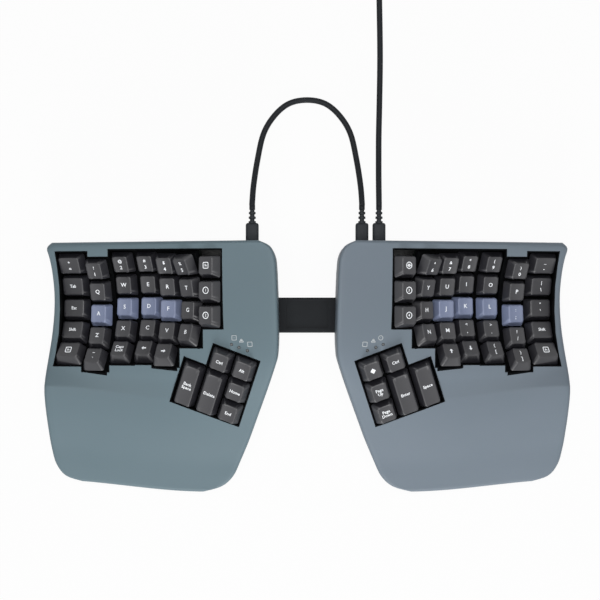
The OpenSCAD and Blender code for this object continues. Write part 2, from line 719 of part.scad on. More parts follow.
module base_shell() {
    pocket_top = foot_rise + foot_thick + turn_gap + 0.2;
    difference() {
        union() {
            translate([0, 0, base_z]) linear_extrude(floor_thick) polygon(outline(0));
            translate([0, 0, base_z]) linear_extrude(part_line - base_z) difference() {
                polygon(outline(0));
                polygon(outline(case_wall));
            }
            translate([0, 0, base_z]) linear_extrude(part_line + lip_rise - base_z) difference() {
                polygon(outline(case_wall + fit));
                polygon(outline(case_wall + fit + lip_thick));
            }
            for (p = screw_spots) translate([p[0], p[1], base_z])
                cylinder(r = boss_radius, h = part_line - base_z, $fn = 32);
            foot_pocket(mid_length, mid_y, pocket_wall, base_z, pocket_top + pocket_roof);
            foot_pocket(high_length, high_y, pocket_wall, base_z, pocket_top + pocket_roof);
            hinge_boss(mid_y);
            hinge_boss(high_y);
            for (x = post_x) for (y = post_y) translate([x, y, base_z])
                cylinder(r = post_radius, h = board_z - base_z - seat, $fn = 24);
            for (s = [-1, 1]) translate([-peg_x - 2.6, bridge_y + s * peg_y - 3.5, base_z])
                cube([5.4, 7, bridge_z - base_z - seat]);
            for (s = [-1, 1]) translate([-peg_x, bridge_y + s * peg_y, base_z])
                cylinder(r = peg_radius, h = bridge_z + bridge_thick - 2 - base_z, $fn = 32);
        }
        foot_pocket(mid_length, mid_y, 0, -1, pocket_top);
        foot_pocket(high_length, high_y, 0, -1, pocket_top);
        hinge_bore(mid_y);
        hinge_bore(high_y);
        for (p = foot_spots) translate([p[0], p[1], -1])
            cylinder(r = foot_radius + fit, h = foot_rise + foot_seat + 1, $fn = 48);
        for (p = screw_spots) translate([p[0], p[1], -1]) {
            cylinder(r = screw_head + 0.3, h = base_z + 2.4, $fn = 32);
            cylinder(r = screw_radius + 0.3, h = 20, $fn = 32);
        }
        translate([button_spot[0] - button_long / 2 - 0.3, button_spot[1] - button_wide / 2 - 0.3, -1])
            cube([button_long + button_travel + 0.6, button_wide + 0.6, 20]);
        case_room();
    }
}

// Coil: in, out, in and out again, climbing where the spiral turns back
function climb(a) = a <= 0 ? 0 : a >= 1 ? 1 : a;
function coil_point(a) =
    let (span = 360 * layer_turns, k = min(floor(a / span), 3), f = a / span - k,
        r = k % 2 == 0 ? mix(coil_outer, coil_inner, f) : mix(coil_inner, coil_outer, f),
        up = climb((a - span + 90) / 180) + climb((a - 2 * span + 90) / 180)
            + climb((a - 3 * span + 90) / 180))
    [coil_x + r * cos(a), coil_mid + r * sin(a), coil_low + up * strand_pitch];
coil_step = 24;
coil_loops = [for (a = [0:coil_step:360 * coil_turns]) coil_point(a)];
coil_path = concat([[usb_x, coil_y, coil_low]], coil_loops, curve(tail_path, 2));
coil_gap = min([for (i = [0:len(coil_loops) - 13]) for (j = [i + 12:len(coil_loops) - 1])
    norm(coil_loops[i] - coil_loops[j])]) - cord;
echo(coil_gap = coil_gap);

// Pieces drawn once for both modules

module both() {
    children();
    mirror([1, 0, 0]) children();
}

module tent_foot(length, y) {
    difference() {
        union() {
            translate([hinge_x - length, y - foot_width / 2, hinge_z - foot_thick / 2])
                cube([length, foot_width, foot_thick]);
            translate([hinge_x, y - foot_width / 2, hinge_z]) rotate([-90, 0, 0])
                cylinder(r = foot_thick / 2, h = foot_width, $fn = 32);
            translate([hinge_x, y - foot_width / 2 - pin_long + turn_gap, hinge_z]) rotate([-90, 0, 0])
                cylinder(r = pin_radius, h = foot_width + 2 * (pin_long - turn_gap), $fn = 32);
        }
        translate([hinge_x - length - 1, y - 7, -1]) cube([4, 14, 20]);
        translate([hinge_x - length + 7, y - foot_width / 2 + 4, -1])
            cube([length - 14, foot_width - 8, hinge_z - foot_thick / 2 + 2]);
    }
}

module foot_button() {
    x = button_spot[0];
    y = button_spot[1];
    translate([x - button_long / 2, y - button_wide / 2, foot_rise])
        cube([button_long, button_wide, floor_top - foot_rise + 1]);
    translate([x - button_long / 2 - 2.5, y - button_wide / 2 + 0.4, button_top + seat])
        cube([button_long + 5, button_wide - 0.8, 1.2]);
}

module socket(x) {
    translate([-x, rear_y - 0.2, socket_z + seat]) rotate([90, 0, 0]) difference() {
        linear_extrude(socket_long) polygon(pill(socket_w, socket_h, 1.2));
        translate([0, 0, -1]) linear_extrude(socket_long) polygon(pill(socket_in_w, socket_in_h, 0.9));
    }
}

function pill(w, h, c) = [[-w / 2 + c, -h / 2], [w / 2 - c, -h / 2], [w / 2, -h / 2 + c],
    [w / 2, h / 2 - c], [w / 2 - c, h / 2], [-w / 2 + c, h / 2], [-w / 2, h / 2 - c], [-w / 2, -h / 2 + c]];

module bar(x, y, z, w, h, c, length) {
    translate([x, y + length, z]) rotate([90, 0, 0]) linear_extrude(length) polygon(pill(w, h, c));
}

module device_plug(x) {
    bar(x, plug_y - tip_long, socket_z + seat, tip_w, tip_h, 0.8, tip_long + 0.2);
    bar(x, plug_y, socket_z + seat, plug_w, plug_h, 1.6, plug_long);
    bar(x, plug_y + plug_long - 0.2, socket_z + seat, boot_w - 1, boot_w - 1, 1.3, boot_long + 0.18);
    for (k = [0:3]) bar(x, plug_y + plug_long + 1 + 2.6 * k, socket_z + seat, boot_w, boot_w, 1.6, 1.6);
}

module host_plug() {
    tip_y = host_y + host_boot + host_long - 1;
    bar(host_x, host_y + 0.02, host_z, boot_w, boot_w, 1.5, host_boot + 0.2);
    bar(host_x, host_y + host_boot, host_z, host_w, host_h, 1.4, host_long);
    bar(host_x, tip_y, host_z, host_tip_w, host_tip_h, 0.4, host_tip_long + 1);
}

module thumb_board() {
    depth = housing_low + seat;
    at_thumb_plane() thumb_plate(-depth - board_thick, -depth, -1);
}

module boards() {
    deep = key_height + housing_low + seat;
    for (c = [0:6]) strip(c, deep, deep + board_thick, [board_end, board_end], board_half, board_half);
    thumb_board();
    translate([main_board[0], main_board[2], board_z])
        cube([main_board[1] - main_board[0], main_board[3] - main_board[2], main_thick]);
}

module screw(p) {
    translate([p[0], p[1], foot_rise + 0.1]) cylinder(r = screw_head, h = 1.25, $fn = 32);
    translate([p[0], p[1], foot_rise + 0.1]) cylinder(r = screw_radius, h = 12.4, $fn = 32);
}

module row_keys(r, first, last) {
    for (c = [first:last]) finger_key(c, r);
}

// Named pieces

module left_top_case() { color(left_tone) top_case([link_x]); }
module right_top_case() { color(right_tone) mirror([1, 0, 0]) top_case([link_x, usb_x]); }
module left_base() { color(black) base_shell(); }
module right_base() { color(black) mirror([1, 0, 0]) base_shell(); }
module left_key_well() { color(black) key_well(); }
module right_key_well() { color(black) mirror([1, 0, 0]) key_well(); }
module left_thumb_well() { color(black) thumb_well(); }
module right_thumb_well() { color(black) mirror([1, 0, 0]) thumb_well(); }
module switch_housings() { color(black) both() each_key() switch_housing(); }
module circuit_boards() { color("#1d4a33") both() boards(); }
module case_screws() { color("#8a8d90") both() for (p = screw_spots) screw(p); }

module rubber_feet() {
    color("#202224") both() for (p = foot_spots) translate([p[0], p[1], 0])
        cylinder(r = foot_radius, h = foot_rise + foot_seat - seat, $fn = 48);
}

module usb_sockets() {
    color("#9a9da0") {
        both() socket(link_x);
        socket(-usb_x);
    }
}

module indicator_lights() {
    color("#dfe6e8") both() for (q = light_rows) {
        p = deck_point(q[0], q[1]);
        translate([p[0], p[1], p[2] - 8]) cylinder(r = light_radius, h = 8, $fn = 24);
    }
}

module bridge_plate() {
    long = 2 * (abs(deck_rows[5][3]) + bridge_tongue);
    color("#23272b") translate([0, bridge_y, bridge_z]) difference() {
        translate([-long / 2, -bridge_depth / 2, 0]) cube([long, bridge_depth, bridge_thick]);
        translate([-bridge_panel / 2, bridge_border - bridge_depth / 2, bridge_thick - 1])
            cube([bridge_panel, bridge_depth - 2 * bridge_border, 5]);
        for (s = [-1, 1]) translate([0, s * bridge_depth / 2, bridge_thick]) rotate([45, 0, 0])
            cube([2 * long, bridge_bevel, bridge_bevel], center = true);
        for (x = [-peg_x, peg_x]) for (s = [-1, 1]) translate([x, s * peg_y, -1])
            cylinder(r = peg_radius + 0.3, h = bridge_thick, $fn = 32);
    }
}

module left_mid_foot() { color("#2b2e31") tent_foot(mid_length, mid_y); }
module left_high_foot() { color("#2b2e31") tent_foot(high_length, high_y); }
module right_mid_foot() { color("#2b2e31") mirror([1, 0, 0]) tent_foot(mid_length, mid_y); }
module right_high_foot() { color("#2b2e31") mirror([1, 0, 0]) tent_foot(high_length, high_y); }
module left_foot_button() { color("#6a6e72") foot_button(); }
module right_foot_button() { color("#6a6e72") mirror([1, 0, 0]) foot_button(); }
module link_cable() { color("#33373c") tube(curve(link_path, 2), cord_r, 8); }
module usb_cable() { color("#33373c") tube(curve(usb_path, 2), cord_r, 8); }
module usb_cable_coil() { color("#33373c") tube(coil_path, cord_r, 6); }

module cable_plugs() {
    color("#2f3338") {
        device_plug(-link_x);
        device_plug(link_x);
        device_plug(usb_x);
        host_plug();
    }
}

module cable_tie() {
    gap = 1.2;
    wide = coil_outer - coil_inner + cord + 2 * gap;
    high = tail_z + cord_r + 0.6 - tie_thick;
    color("#1b1d20") translate([coil_x - coil_outer - cord_r - gap, coil_mid - 4, 0]) difference() {
        translate([-tie_thick, 0, 0]) cube([wide + 2 * tie_thick, 8, high + 2 * tie_thick]);
        translate([0, -1, tie_thick]) cube([wide, 10, high]);
    }
}

module left_number_row() { color(key_tone) row_keys(0, 0, 4); }
module left_upper_row() { color(key_tone) row_keys(1, 0, 4); }
module left_home_edge() { color(key_tone) finger_key(0, 2); }
module left_home_row() { color(accent_tone) row_keys(2, 1, 4); }
module left_lower_row() { color(key_tone) row_keys(3, 0, 4); }
module left_bottom_row() { color(key_tone) row_keys(4, 0, 4); }
module left_reach_1() { color(key_tone) finger_key(5, 0); }
module left_reach_2() { color(key_tone) finger_key(5, 1); }
module left_reach_3() { color(key_tone) finger_key(5, 2); }
module left_reach_4() { color(key_tone) finger_key(5, 3); }
module left_inner_bank() { color(key_tone) for (r = [0:2]) finger_key(6, r); }
module left_thumb_1() { color(key_tone) thumb_key(0); }
module left_thumb_2() { color(key_tone) thumb_key(1); }
module left_thumb_3() { color(key_tone) thumb_key(2); }
module left_thumb_4() { color(key_tone) thumb_key(3); }
module left_thumb_5() { color(key_tone) thumb_key(4); }
module left_thumb_6() { color(key_tone) thumb_key(5); }
module right_number_row() { mirror([1, 0, 0]) left_number_row(); }
module right_upper_row() { mirror([1, 0, 0]) left_upper_row(); }
module right_home_edge() { mirror([1, 0, 0]) left_home_edge(); }
module right_home_row() { mirror([1, 0, 0]) left_home_row(); }
module right_lower_row() { mirror([1, 0, 0]) left_lower_row(); }
module right_bottom_row() { mirror([1, 0, 0]) left_bottom_row(); }
module right_reach_1() { mirror([1, 0, 0]) left_reach_1(); }
module right_reach_2() { mirror([1, 0, 0]) left_reach_2(); }
module right_reach_3() { mirror([1, 0, 0]) left_reach_3(); }
module right_reach_4() { mirror([1, 0, 0]) left_reach_4(); }
module right_inner_bank() { mirror([1, 0, 0]) left_inner_bank(); }
module right_thumb_1() { mirror([1, 0, 0]) left_thumb_1(); }
module right_thumb_2() { mirror([1, 0, 0]) left_thumb_2(); }
module right_thumb_3() { mirror([1, 0, 0]) left_thumb_3(); }
module right_thumb_4() { mirror([1, 0, 0]) left_thumb_4(); }
module right_thumb_5() { mirror([1, 0, 0]) left_thumb_5(); }
module right_thumb_6() { mirror([1, 0, 0]) left_thumb_6(); }

left_top_case();
right_top_case();
left_base();
right_base();
left_key_well();
right_key_well();
left_thumb_well();
right_thumb_well();
switch_housings();
circuit_boards();
case_screws();
rubber_feet();
usb_sockets();
indicator_lights();
bridge_plate();
left_mid_foot();
left_high_foot();
right_mid_foot();
right_high_foot();
left_foot_button();
right_foot_button();
link_cable();
usb_cable();
usb_cable_coil();
cable_plugs();
cable_tie();
left_number_row();
left_upper_row();
left_home_edge();
left_home_row();
left_lower_row();
left_bottom_row();
left_reach_1();
left_reach_2();
left_reach_3();
left_reach_4();
left_inner_bank();
left_thumb_1();
left_thumb_2();
left_thumb_3();
left_thumb_4();
left_thumb_5();
left_thumb_6();
right_number_row();
right_upper_row();
right_home_edge();
right_home_row();
right_lower_row();
right_bottom_row();
right_reach_1();
right_reach_2();
right_reach_3();
right_reach_4();
right_inner_bank();
right_thumb_1();
right_thumb_2();
right_thumb_3();
right_thumb_4();
right_thumb_5();
right_thumb_6();
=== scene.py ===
import math

import bmesh
import bpy
from mathutils import Matrix, Vector


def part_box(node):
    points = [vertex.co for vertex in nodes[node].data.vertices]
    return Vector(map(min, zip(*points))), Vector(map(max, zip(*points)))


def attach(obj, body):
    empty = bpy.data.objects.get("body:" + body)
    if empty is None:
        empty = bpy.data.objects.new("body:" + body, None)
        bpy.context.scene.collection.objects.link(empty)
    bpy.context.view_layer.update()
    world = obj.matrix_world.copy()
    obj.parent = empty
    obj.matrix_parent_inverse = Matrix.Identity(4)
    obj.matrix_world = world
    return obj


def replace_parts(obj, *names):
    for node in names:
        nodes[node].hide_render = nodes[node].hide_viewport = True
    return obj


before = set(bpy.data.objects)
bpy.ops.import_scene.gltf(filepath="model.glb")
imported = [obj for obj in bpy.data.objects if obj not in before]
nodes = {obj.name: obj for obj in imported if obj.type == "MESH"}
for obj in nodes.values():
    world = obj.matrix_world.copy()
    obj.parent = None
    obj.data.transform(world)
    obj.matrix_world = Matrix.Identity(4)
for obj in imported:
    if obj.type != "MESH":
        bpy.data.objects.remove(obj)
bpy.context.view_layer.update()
scene = bpy.context.scene
scene.view_settings.view_transform = "Standard"
mm = 0.001  # pieces are modelled in millimetres and scaled once when finished
mainBody = "keyboard"
flip = Matrix.Scale(-1, 4, (1, 0, 0))


# helpers

def turned(degrees, axis):
    return Matrix.Rotation(math.radians(degrees), 4, axis)


def picked(geometry, kind):
    return [g for g in geometry if isinstance(g, kind)]


def meshFrom(shape, name):
    mesh = bpy.data.meshes.new(name)
    shape.to_mesh(mesh)
    shape.free()
    return mesh


def smoothed(a, b, c, d, t):
    # between b and c on a curve through all four
    return 0.5 * (2 * b + (c - a) * t + (2 * a - 5 * b + 4 * c - d) * t * t
                  + (3 * b - a - 3 * c + d) * t ** 3)


# materials

def linear(code):
    parts = [int(code[k:k + 2], 16) / 255 for k in (1, 3, 5)]
    return [((v + 0.055) / 1.055) ** 2.4 if v > 0.04045 else v / 12.92 for v in parts] + [1]


def addNode(tree, kind, sockets=None, **settings):
    node = tree.nodes.new(kind)
    for name, value in settings.items():
        setattr(node, name, value)
    for name, value in (sockets or {}).items():
        if isinstance(value, bpy.types.NodeSocket):
            tree.links.new(value, node.inputs[name])
        else:
            node.inputs[name].default_value = value
    return node


def newMaterial(name, **fixed):
    material = bpy.data.materials.new(name)
    material.use_nodes = True
    tree = material.node_tree
    shader = tree.nodes["Principled BSDF"]
    for socket, value in fixed.items():
        shader.inputs[socket.replace("_", " ")].default_value = value
    return material, tree, shader


def objectCoords(tree):
    return addNode(tree, "ShaderNodeTexCoord").outputs["Object"]


def noise(tree, coords, size, detail):
    sockets = {"Vector": coords, "Scale": 1 / (size * mm), "Detail": detail}
    return addNode(tree, "ShaderNodeTexNoise", sockets).outputs


def toneBetween(tree, share, colours):
    mix = addNode(tree, "ShaderNodeMix", {0: share, 6: linear(colours[0]), 7: linear(colours[1])},
                  data_type="RGBA")
    return mix.outputs[2]


def bumped(tree, height, strength, depth):
    sockets = {"Height": height, "Strength": strength, "Distance": depth * mm}
    return addNode(tree, "ShaderNodeBump", sockets).outputs[0]


plastic = {"speck": 0.08, "noise": (0.3, 0.7), "bump": 0.5}


def grainedPlastic(name, colours, roughness, grain, depth, drift, **fixed):
    # moulded plastic: a spark-eroded grain of the given millimetres and a slow drift of tone
    material, tree, shader = newMaterial(name, **fixed)
    coords = objectCoords(tree)
    slow = noise(tree, coords, drift, detail=3)
    fine = noise(tree, coords, grain, detail=2)
    tone = toneBetween(tree, slow[0], colours)
    speck = addNode(tree, "ShaderNodeMix", {0: plastic["speck"], 6: tone, 7: fine[1]},
                    data_type="RGBA", blend_type="SOFT_LIGHT")
    low, high = plastic["noise"]
    gloss = addNode(tree, "ShaderNodeMapRange",
                    {0: fine[0], 1: low, 2: high, 3: roughness[0], 4: roughness[1]})
    tree.links.new(speck.outputs[2], shader.inputs["Base Color"])
    tree.links.new(gloss.outputs[0], shader.inputs["Roughness"])
    tree.links.new(bumped(tree, fine[0], plastic["bump"], depth), shader.inputs["Normal"])
    return material


# satin two-part paint over moulded ABS, a soft sheen with no sharp reflections
satin = {"roughness": (0.45, 0.55), "grain": 0.5, "depth": 0.012, "drift": 60, "Specular_IOR_Level": 0.25}
# one paint in two copies: the left half's darker and greener, the right half's lighter; the difference
# between them is painted light and shade for how each half is lit
leftPaintShaded = grainedPlastic("satin_paint_left_shaded", ("#6f838b", "#758790"), **satin)
rightPaintLit = grainedPlastic("satin_paint_right_lit", ("#7a8791", "#808b97"), **satin)
# PBT caps, dry and finely grained, the grain drawn a little coarser so that it shows
dryCap = {"roughness": (0.4, 0.5), "grain": 0.45, "depth": 0.03, "drift": 30, "Specular_IOR_Level": 0.85}
capDark = grainedPlastic("pbt_charcoal", ("#1a1a1f", "#212127"), **dryCap)
capAccent = grainedPlastic("pbt_slate_blue", ("#818cac", "#8994b2"), **dryCap)
wellBlack = grainedPlastic("moulded_abs_black", ("#08090a", "#0d0e10"), (0.5, 0.7),
                           grain=0.6, depth=0.03, drift=25, Specular_IOR_Level=0.03)
baseBlack = grainedPlastic("grained_abs_base", ("#15171a", "#1c1e21"), (0.5, 0.7),
                           grain=0.8, depth=0.06, drift=40)
footGrey = grainedPlastic("nylon_foot", ("#282b2e", "#303336"), (0.5, 0.65),
                          grain=0.7, depth=0.05, drift=20)
buttonGrey = grainedPlastic("nylon_button", ("#64686c", "#6f7377"), (0.45, 0.6),
                            grain=0.7, depth=0.04, drift=15)
bridgeBlack = grainedPlastic("grained_abs_bridge", ("#1a1c1f", "#212427"), (0.5, 0.65),
                             grain=0.6, depth=0.05, drift=20, Specular_IOR_Level=0.12)
cableJacket = grainedPlastic("tpe_jacket", ("#1d2023", "#25282c"), (0.45, 0.6),
                             grain=0.7, depth=0.04, drift=18, Specular_IOR_Level=0.15)
plugShell = grainedPlastic("moulded_tpe_plug", ("#2b2f33", "#33373b"), (0.45, 0.6),
                           grain=0.6, depth=0.04, drift=15, Specular_IOR_Level=0.2)
rubberPad = grainedPlastic("moulded_rubber", ("#1c1e20", "#242628"), (0.7, 0.9),
                           grain=0.9, depth=0.08, drift=12)
boardBlack = grainedPlastic("black_solder_mask", ("#0d110f", "#141a17"), (0.35, 0.5),
                            grain=1.2, depth=0.03, drift=10)
switchBlack = grainedPlastic("nylon_switch", ("#0a0b0c", "#101113"), (0.5, 0.65),
                             grain=0.6, depth=0.03, drift=12, Specular_IOR_Level=0.1)
# laser-cut legends, a white translucent layer lit a little from below
legendWhite = grainedPlastic("legend_white", ("#e6e9ec", "#f2f4f6"), (0.4, 0.55),
                             grain=0.4, depth=0.01, drift=6,
                             Emission_Color=linear("#eef2f6"), Emission_Strength=0.45)
lightPipe = grainedPlastic("smoked_light_pipe", ("#23282b", "#30363a"), (0.3, 0.45),
                           grain=0.5, depth=0.02, drift=4)
printGrey = grainedPlastic("pad_print_silver", ("#c3cace", "#d3d9dc"), (0.4, 0.5),
                           grain=0.4, depth=0.01, drift=4)


def brushedSteel(name, colours, stretch, line, roughness):
    # stamped sheet steel: fine drawing lines across the strip
    material, tree, shader = newMaterial(name, Metallic=1.0)
    drawn = addNode(tree, "ShaderNodeMapping", {"Vector": objectCoords(tree), "Scale": stretch})
    lines = noise(tree, drawn.outputs[0], line, detail=2)
    gloss = addNode(tree, "ShaderNodeMapRange", {0: lines[0], 3: roughness[0], 4: roughness[1]})
    tree.links.new(toneBetween(tree, lines[0], colours), shader.inputs["Base Color"])
    tree.links.new(gloss.outputs[0], shader.inputs["Roughness"])
    return material


steel = brushedSteel("nickel_plated_steel", ("#8f9296", "#b4b7bb"), stretch=(12, 1, 12), line=2.5,
                     roughness=(0.22, 0.42))


def wovenStrap(name, colours, thread, depth, strength):
    # hook-and-loop strap: a plain weave of the given thread spacing in millimetres
    material, tree, shader = newMaterial(name, Roughness=0.85)
    waveUnit = 0.31  # length of one wave at a scale of 1
    sockets = {"Vector": objectCoords(tree), "Scale": waveUnit / (thread * mm)}
    warp = addNode(tree, "ShaderNodeTexWave", sockets, bands_direction="Y")
    weft = addNode(tree, "ShaderNodeTexWave", sockets, bands_direction="Z")
    crossed = {0: warp.outputs[1], 1: weft.outputs[1]}
    weave = addNode(tree, "ShaderNodeMath", crossed, operation="MULTIPLY").outputs[0]
    tree.links.new(toneBetween(tree, weave, colours), shader.inputs["Base Color"])
    tree.links.new(bumped(tree, weave, strength, depth), shader.inputs["Normal"])
    return material


strapWeave = wovenStrap("woven_strap", ("#141518", "#24262a"), thread=0.8, depth=0.15, strength=0.6)
print("materials made")


# camera and light

view = {"place": (-0.0058, 0.0534, 1.15), "width": 0.498, "sensor": 36}
camera = bpy.data.objects.new("photo_camera", bpy.data.cameras.new("photo_camera"))
camera.data.sensor_width = view["sensor"]
camera.data.lens = view["sensor"] * view["place"][2] / view["width"]
camera.location = view["place"]
scene.collection.objects.link(camera)
scene.camera = camera

studio = {"fill": 0.09, "floorGlow": 0.95, "floorHalf": 3}
lamps = {
    "front_softbox": {"place": (0, -1.6, 0.6), "aim": (0, 0, 0), "size": 0.5, "watts": 16},
    "top_softbox": {"place": (0, 0.1, 1.7), "aim": (0, 0, 0), "size": 0.9, "watts": 15},
}
for name, lamp in lamps.items():
    light = bpy.data.objects.new(name, bpy.data.lights.new(name, "AREA"))
    light.data.size = lamp["size"]
    light.data.energy = lamp["watts"]
    light.location = lamp["place"]
    aim = Vector(lamp["aim"]) - Vector(lamp["place"])
    light.rotation_euler = aim.to_track_quat("-Z", "Y").to_euler()
    scene.collection.objects.link(light)

world = bpy.data.worlds.new("pale_studio")
scene.world = world
world.use_nodes = True
worldTree = world.node_tree


def larger(tree, first, second):
    return addNode(tree, "ShaderNodeMath", {0: first, 1: second}, operation="MAXIMUM").outputs[0]


def seenRays(tree):
    # 1 for what the camera, a reflection or clear plastic sees, 0 for light on the object
    rays = addNode(tree, "ShaderNodeLightPath").outputs
    sharp = larger(tree, rays["Is Glossy Ray"], rays["Is Transmission Ray"])
    return larger(tree, rays["Is Camera Ray"], sharp)


level = addNode(worldTree, "ShaderNodeMapRange", {0: seenRays(worldTree), 3: studio["fill"], 4: 1.0})
worldTree.links.new(level.outputs[0], worldTree.nodes["Background"].inputs["Strength"])
worldTree.nodes["Background"].inputs["Color"].default_value = linear("#ffffff")

floorMaterial, floorTree, floorShader = newMaterial("white_sweep", Roughness=0.9,
                                                    Base_Color=linear("#f4f4f4"))
floorShare = addNode(floorTree, "ShaderNodeMath", {0: seenRays(floorTree), 1: studio["floorGlow"]},
                     operation="MULTIPLY")
glow = addNode(floorTree, "ShaderNodeEmission", {"Color": linear("#ffffff"), "Strength": 1.0})
floorMix = addNode(floorTree, "ShaderNodeMixShader", {0: floorShare.outputs[0], 1: floorShader.outputs[0],
                                                      2: glow.outputs[0]})
floorTree.links.new(floorMix.outputs[0], floorTree.nodes["Material Output"].inputs["Surface"])
floorShape = bmesh.new()
bmesh.ops.create_grid(floorShape, x_segments=1, y_segments=1, size=studio["floorHalf"])
floor = bpy.data.objects.new("floor", meshFrom(floorShape, "floor"))
floor.data.materials.append(floorMaterial)
scene.collection.objects.link(floor)
print("camera, lamps and floor placed")


# finishing pieces

def finishMesh(name, mesh, materials, smoothAngle=35):
    mesh.transform(Matrix.Scale(mm, 4))
    for material in materials:
        mesh.materials.append(material)
    mesh.shade_smooth()
    mesh.set_sharp_from_angle(angle=math.radians(smoothAngle))
    piece = bpy.data.objects.new(name, mesh)
    scene.collection.objects.link(piece)
    return piece


def finishPiece(name, shape, materials, body, replaced=()):
    piece = finishMesh(name, meshFrom(shape, name), materials)
    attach(piece, body)
    if replaced:
        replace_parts(piece, *replaced)
    return piece


def easeEdges(piece, name, width, angle):
    edge = piece.modifiers.new(name, "BEVEL")
    edge.width = width * mm
    edge.segments = 2
    edge.limit_method = "ANGLE"
    edge.angle_limit = math.radians(angle)
    return edge


def addCopy(shape, mesh, place):
    # drops a finished mesh into a shape at a place
    before = len(shape.verts)
    shape.from_mesh(mesh)
    shape.verts.ensure_lookup_table()
    bmesh.ops.transform(shape, matrix=place, verts=shape.verts[before:])


def roundEdges(shape, edges, offset, segments):
    bmesh.ops.bevel(shape, geom=edges, offset=offset, segments=segments, profile=0.5,
                    affect="EDGES", material=-1)


def addBlock(shape, low, high, ease=0.0, segments=2):
    # a box between two corners, with its edges rounded
    made = bmesh.ops.create_cube(shape, size=1)["verts"]
    size = Vector(high) - Vector(low)
    middle = (Vector(high) + Vector(low)) / 2
    place = Matrix.Translation(middle) @ Matrix.Diagonal((*size, 1))
    bmesh.ops.transform(shape, matrix=place, verts=made)
    if ease:
        roundEdges(shape, list({e for v in made for e in v.link_edges}), ease, segments)


def raised(shape, height):
    # gives flat faces a thickness upwards
    made = bmesh.ops.extrude_face_region(shape, geom=shape.faces[:])["geom"]
    bmesh.ops.translate(shape, vec=(0, 0, height), verts=picked(made, bmesh.types.BMVert))
    bmesh.ops.recalc_face_normals(shape, faces=shape.faces[:])
    return shape


def evaluated(piece):
    graph = bpy.context.evaluated_depsgraph_get()
    return bpy.data.meshes.new_from_object(piece.evaluated_get(graph))


def outwards(shape):
    # faces of a shell that is open below point up and out
    bmesh.ops.recalc_face_normals(shape, faces=shape.faces[:])
    shape.normal_update()
    if sum(f.normal.z * f.calc_area() for f in shape.faces) < 0:
        bmesh.ops.reverse_faces(shape, faces=shape.faces[:])


def walled(mesh, thick):
    # gives an open shell its wall on the inside
    work = bpy.data.objects.new("wall_work", mesh)
    scene.collection.objects.link(work)
    wall = work.modifiers.new("wall", "SOLIDIFY")
    wall.thickness = thick
    wall.offset = -1
    result = evaluated(work)
    bpy.data.objects.remove(work)
    return result


# cords

cable = {"thick": 4.8, "roundness": 4, "linkX": 45, "usbX": 59, "socketZ": 13, "wall": 100.2, "gap": 0.4,
         "plug": 16, "boot": 11, "lie": 2.6, "coilY": 372, "coilLow": 3.7, "coilStep": 15, "climb": 180,
         "turns": 10, "layers": 4, "strand": 5.4, "inner": 20, "host": (61, 466, 4.2),
         "linkSteps": 6, "usbSteps": 4}
cordY = cable["wall"] + cable["gap"] + cable["plug"] + cable["boot"]


def curveThrough(points, steps):
    made = []
    last = len(points) - 1
    for k in range(last):
        corners = [Vector(points[min(max(k + n, 0), last)]) for n in (-1, 0, 1, 2)]
        made += [smoothed(*corners, step / steps) for step in range(steps)]
    return made + [Vector(points[-1])]


# routes as x, y, z in millimetres, the first points straight out of the plugs
lie, coilLow, coilY = cable["lie"], cable["coilLow"], cable["coilY"]
linkX, usbX, socketZ = cable["linkX"], cable["usbX"], cable["socketZ"]
hostX, hostY, hostZ = cable["host"]
linkHalf = [(15, 216, lie), (27, 206, lie), (36, 191, lie), (41, 169, 4), (44, 148, 9)]
linkHalf += [(linkX, cordY + ahead, socketZ) for ahead in (6, 3, 0)]
linkRoute = [(-x, y, z) for x, y, z in reversed(linkHalf)] + [(0, 219, lie)] + linkHalf
usbRoute = [(usbX, cordY + ahead, socketZ) for ahead in (0, 3, 6)]
usbRoute += [(usbX, 152, 9), (usbX + 0.2, 170, 4.8), (usbX + 0.4, 190, 2.9), (usbX + 1, 218, lie),
             (usbX + 1.5, 255, lie), (usbX + 1, 295, lie), (usbX + 0.2, 335, coilLow),
             (usbX, coilY - 8, coilLow), (usbX, coilY - 0.02, coilLow)]
layerTurns = cable["turns"] / cable["layers"]
coilOuter = cable["inner"] + layerTurns * cable["strand"]
coilX = usbX - coilOuter
coilMid = coilY + cable["thick"]
tailZ = coilLow + (cable["layers"] - 1) * cable["strand"]


def coilPoint(angle):
    # in, out, in and out again, climbing where the spiral turns back
    span, climb = 360 * layerTurns, cable["climb"]
    layer = min(int(angle / span), cable["layers"] - 1)
    share = angle / span - layer
    radius = coilOuter + (cable["inner"] - coilOuter) * (share if layer % 2 == 0 else 1 - share)
    up = sum(min(max((angle - n * span + climb / 2) / climb, 0), 1) for n in range(1, cable["layers"]))
    turn = math.radians(angle)
    return Vector((coilX + radius * math.cos(turn), coilMid + radius * math.sin(turn),
                   coilLow + up * cable["strand"]))


tailRoute = [(usbX, coilMid + 6, tailZ - 0.4), (usbX + 0.6, coilMid + 21, tailZ - 5), (usbX + 1.5, 414, 8),
             (hostX, 432, 4), (hostX, 448, hostZ), (hostX, hostY, hostZ)]
coilPath = [coilPoint(angle) for angle in range(0, 360 * cable["turns"] + 1, cable["coilStep"])]
linkPath = curveThrough(linkRoute, cable["linkSteps"])
usbPath = curveThrough(usbRoute, cable["usbSteps"]) + coilPath + curveThrough(tailRoute, cable["usbSteps"])


def cordPiece(name, points):
    spline = bpy.data.curves.new(name, "CURVE")
    spline.dimensions = "3D"
    spline.bevel_depth = cable["thick"] / 2 * mm
    spline.bevel_resolution = cable["roundness"]
    spline.use_fill_caps = True
    line = spline.splines.new("POLY")
    line.points.add(len(points) - 1)
    for point, place in zip(line.points, points):
        point.co = (*(place * mm), 1)
    spline.materials.append(cableJacket)
    piece = bpy.data.objects.new(name, spline)
    scene.collection.objects.link(piece)
    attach(piece, mainBody)
    return piece


def pathLength(points):
    return sum((b - a).length for a, b in zip(points, points[1:])) * mm


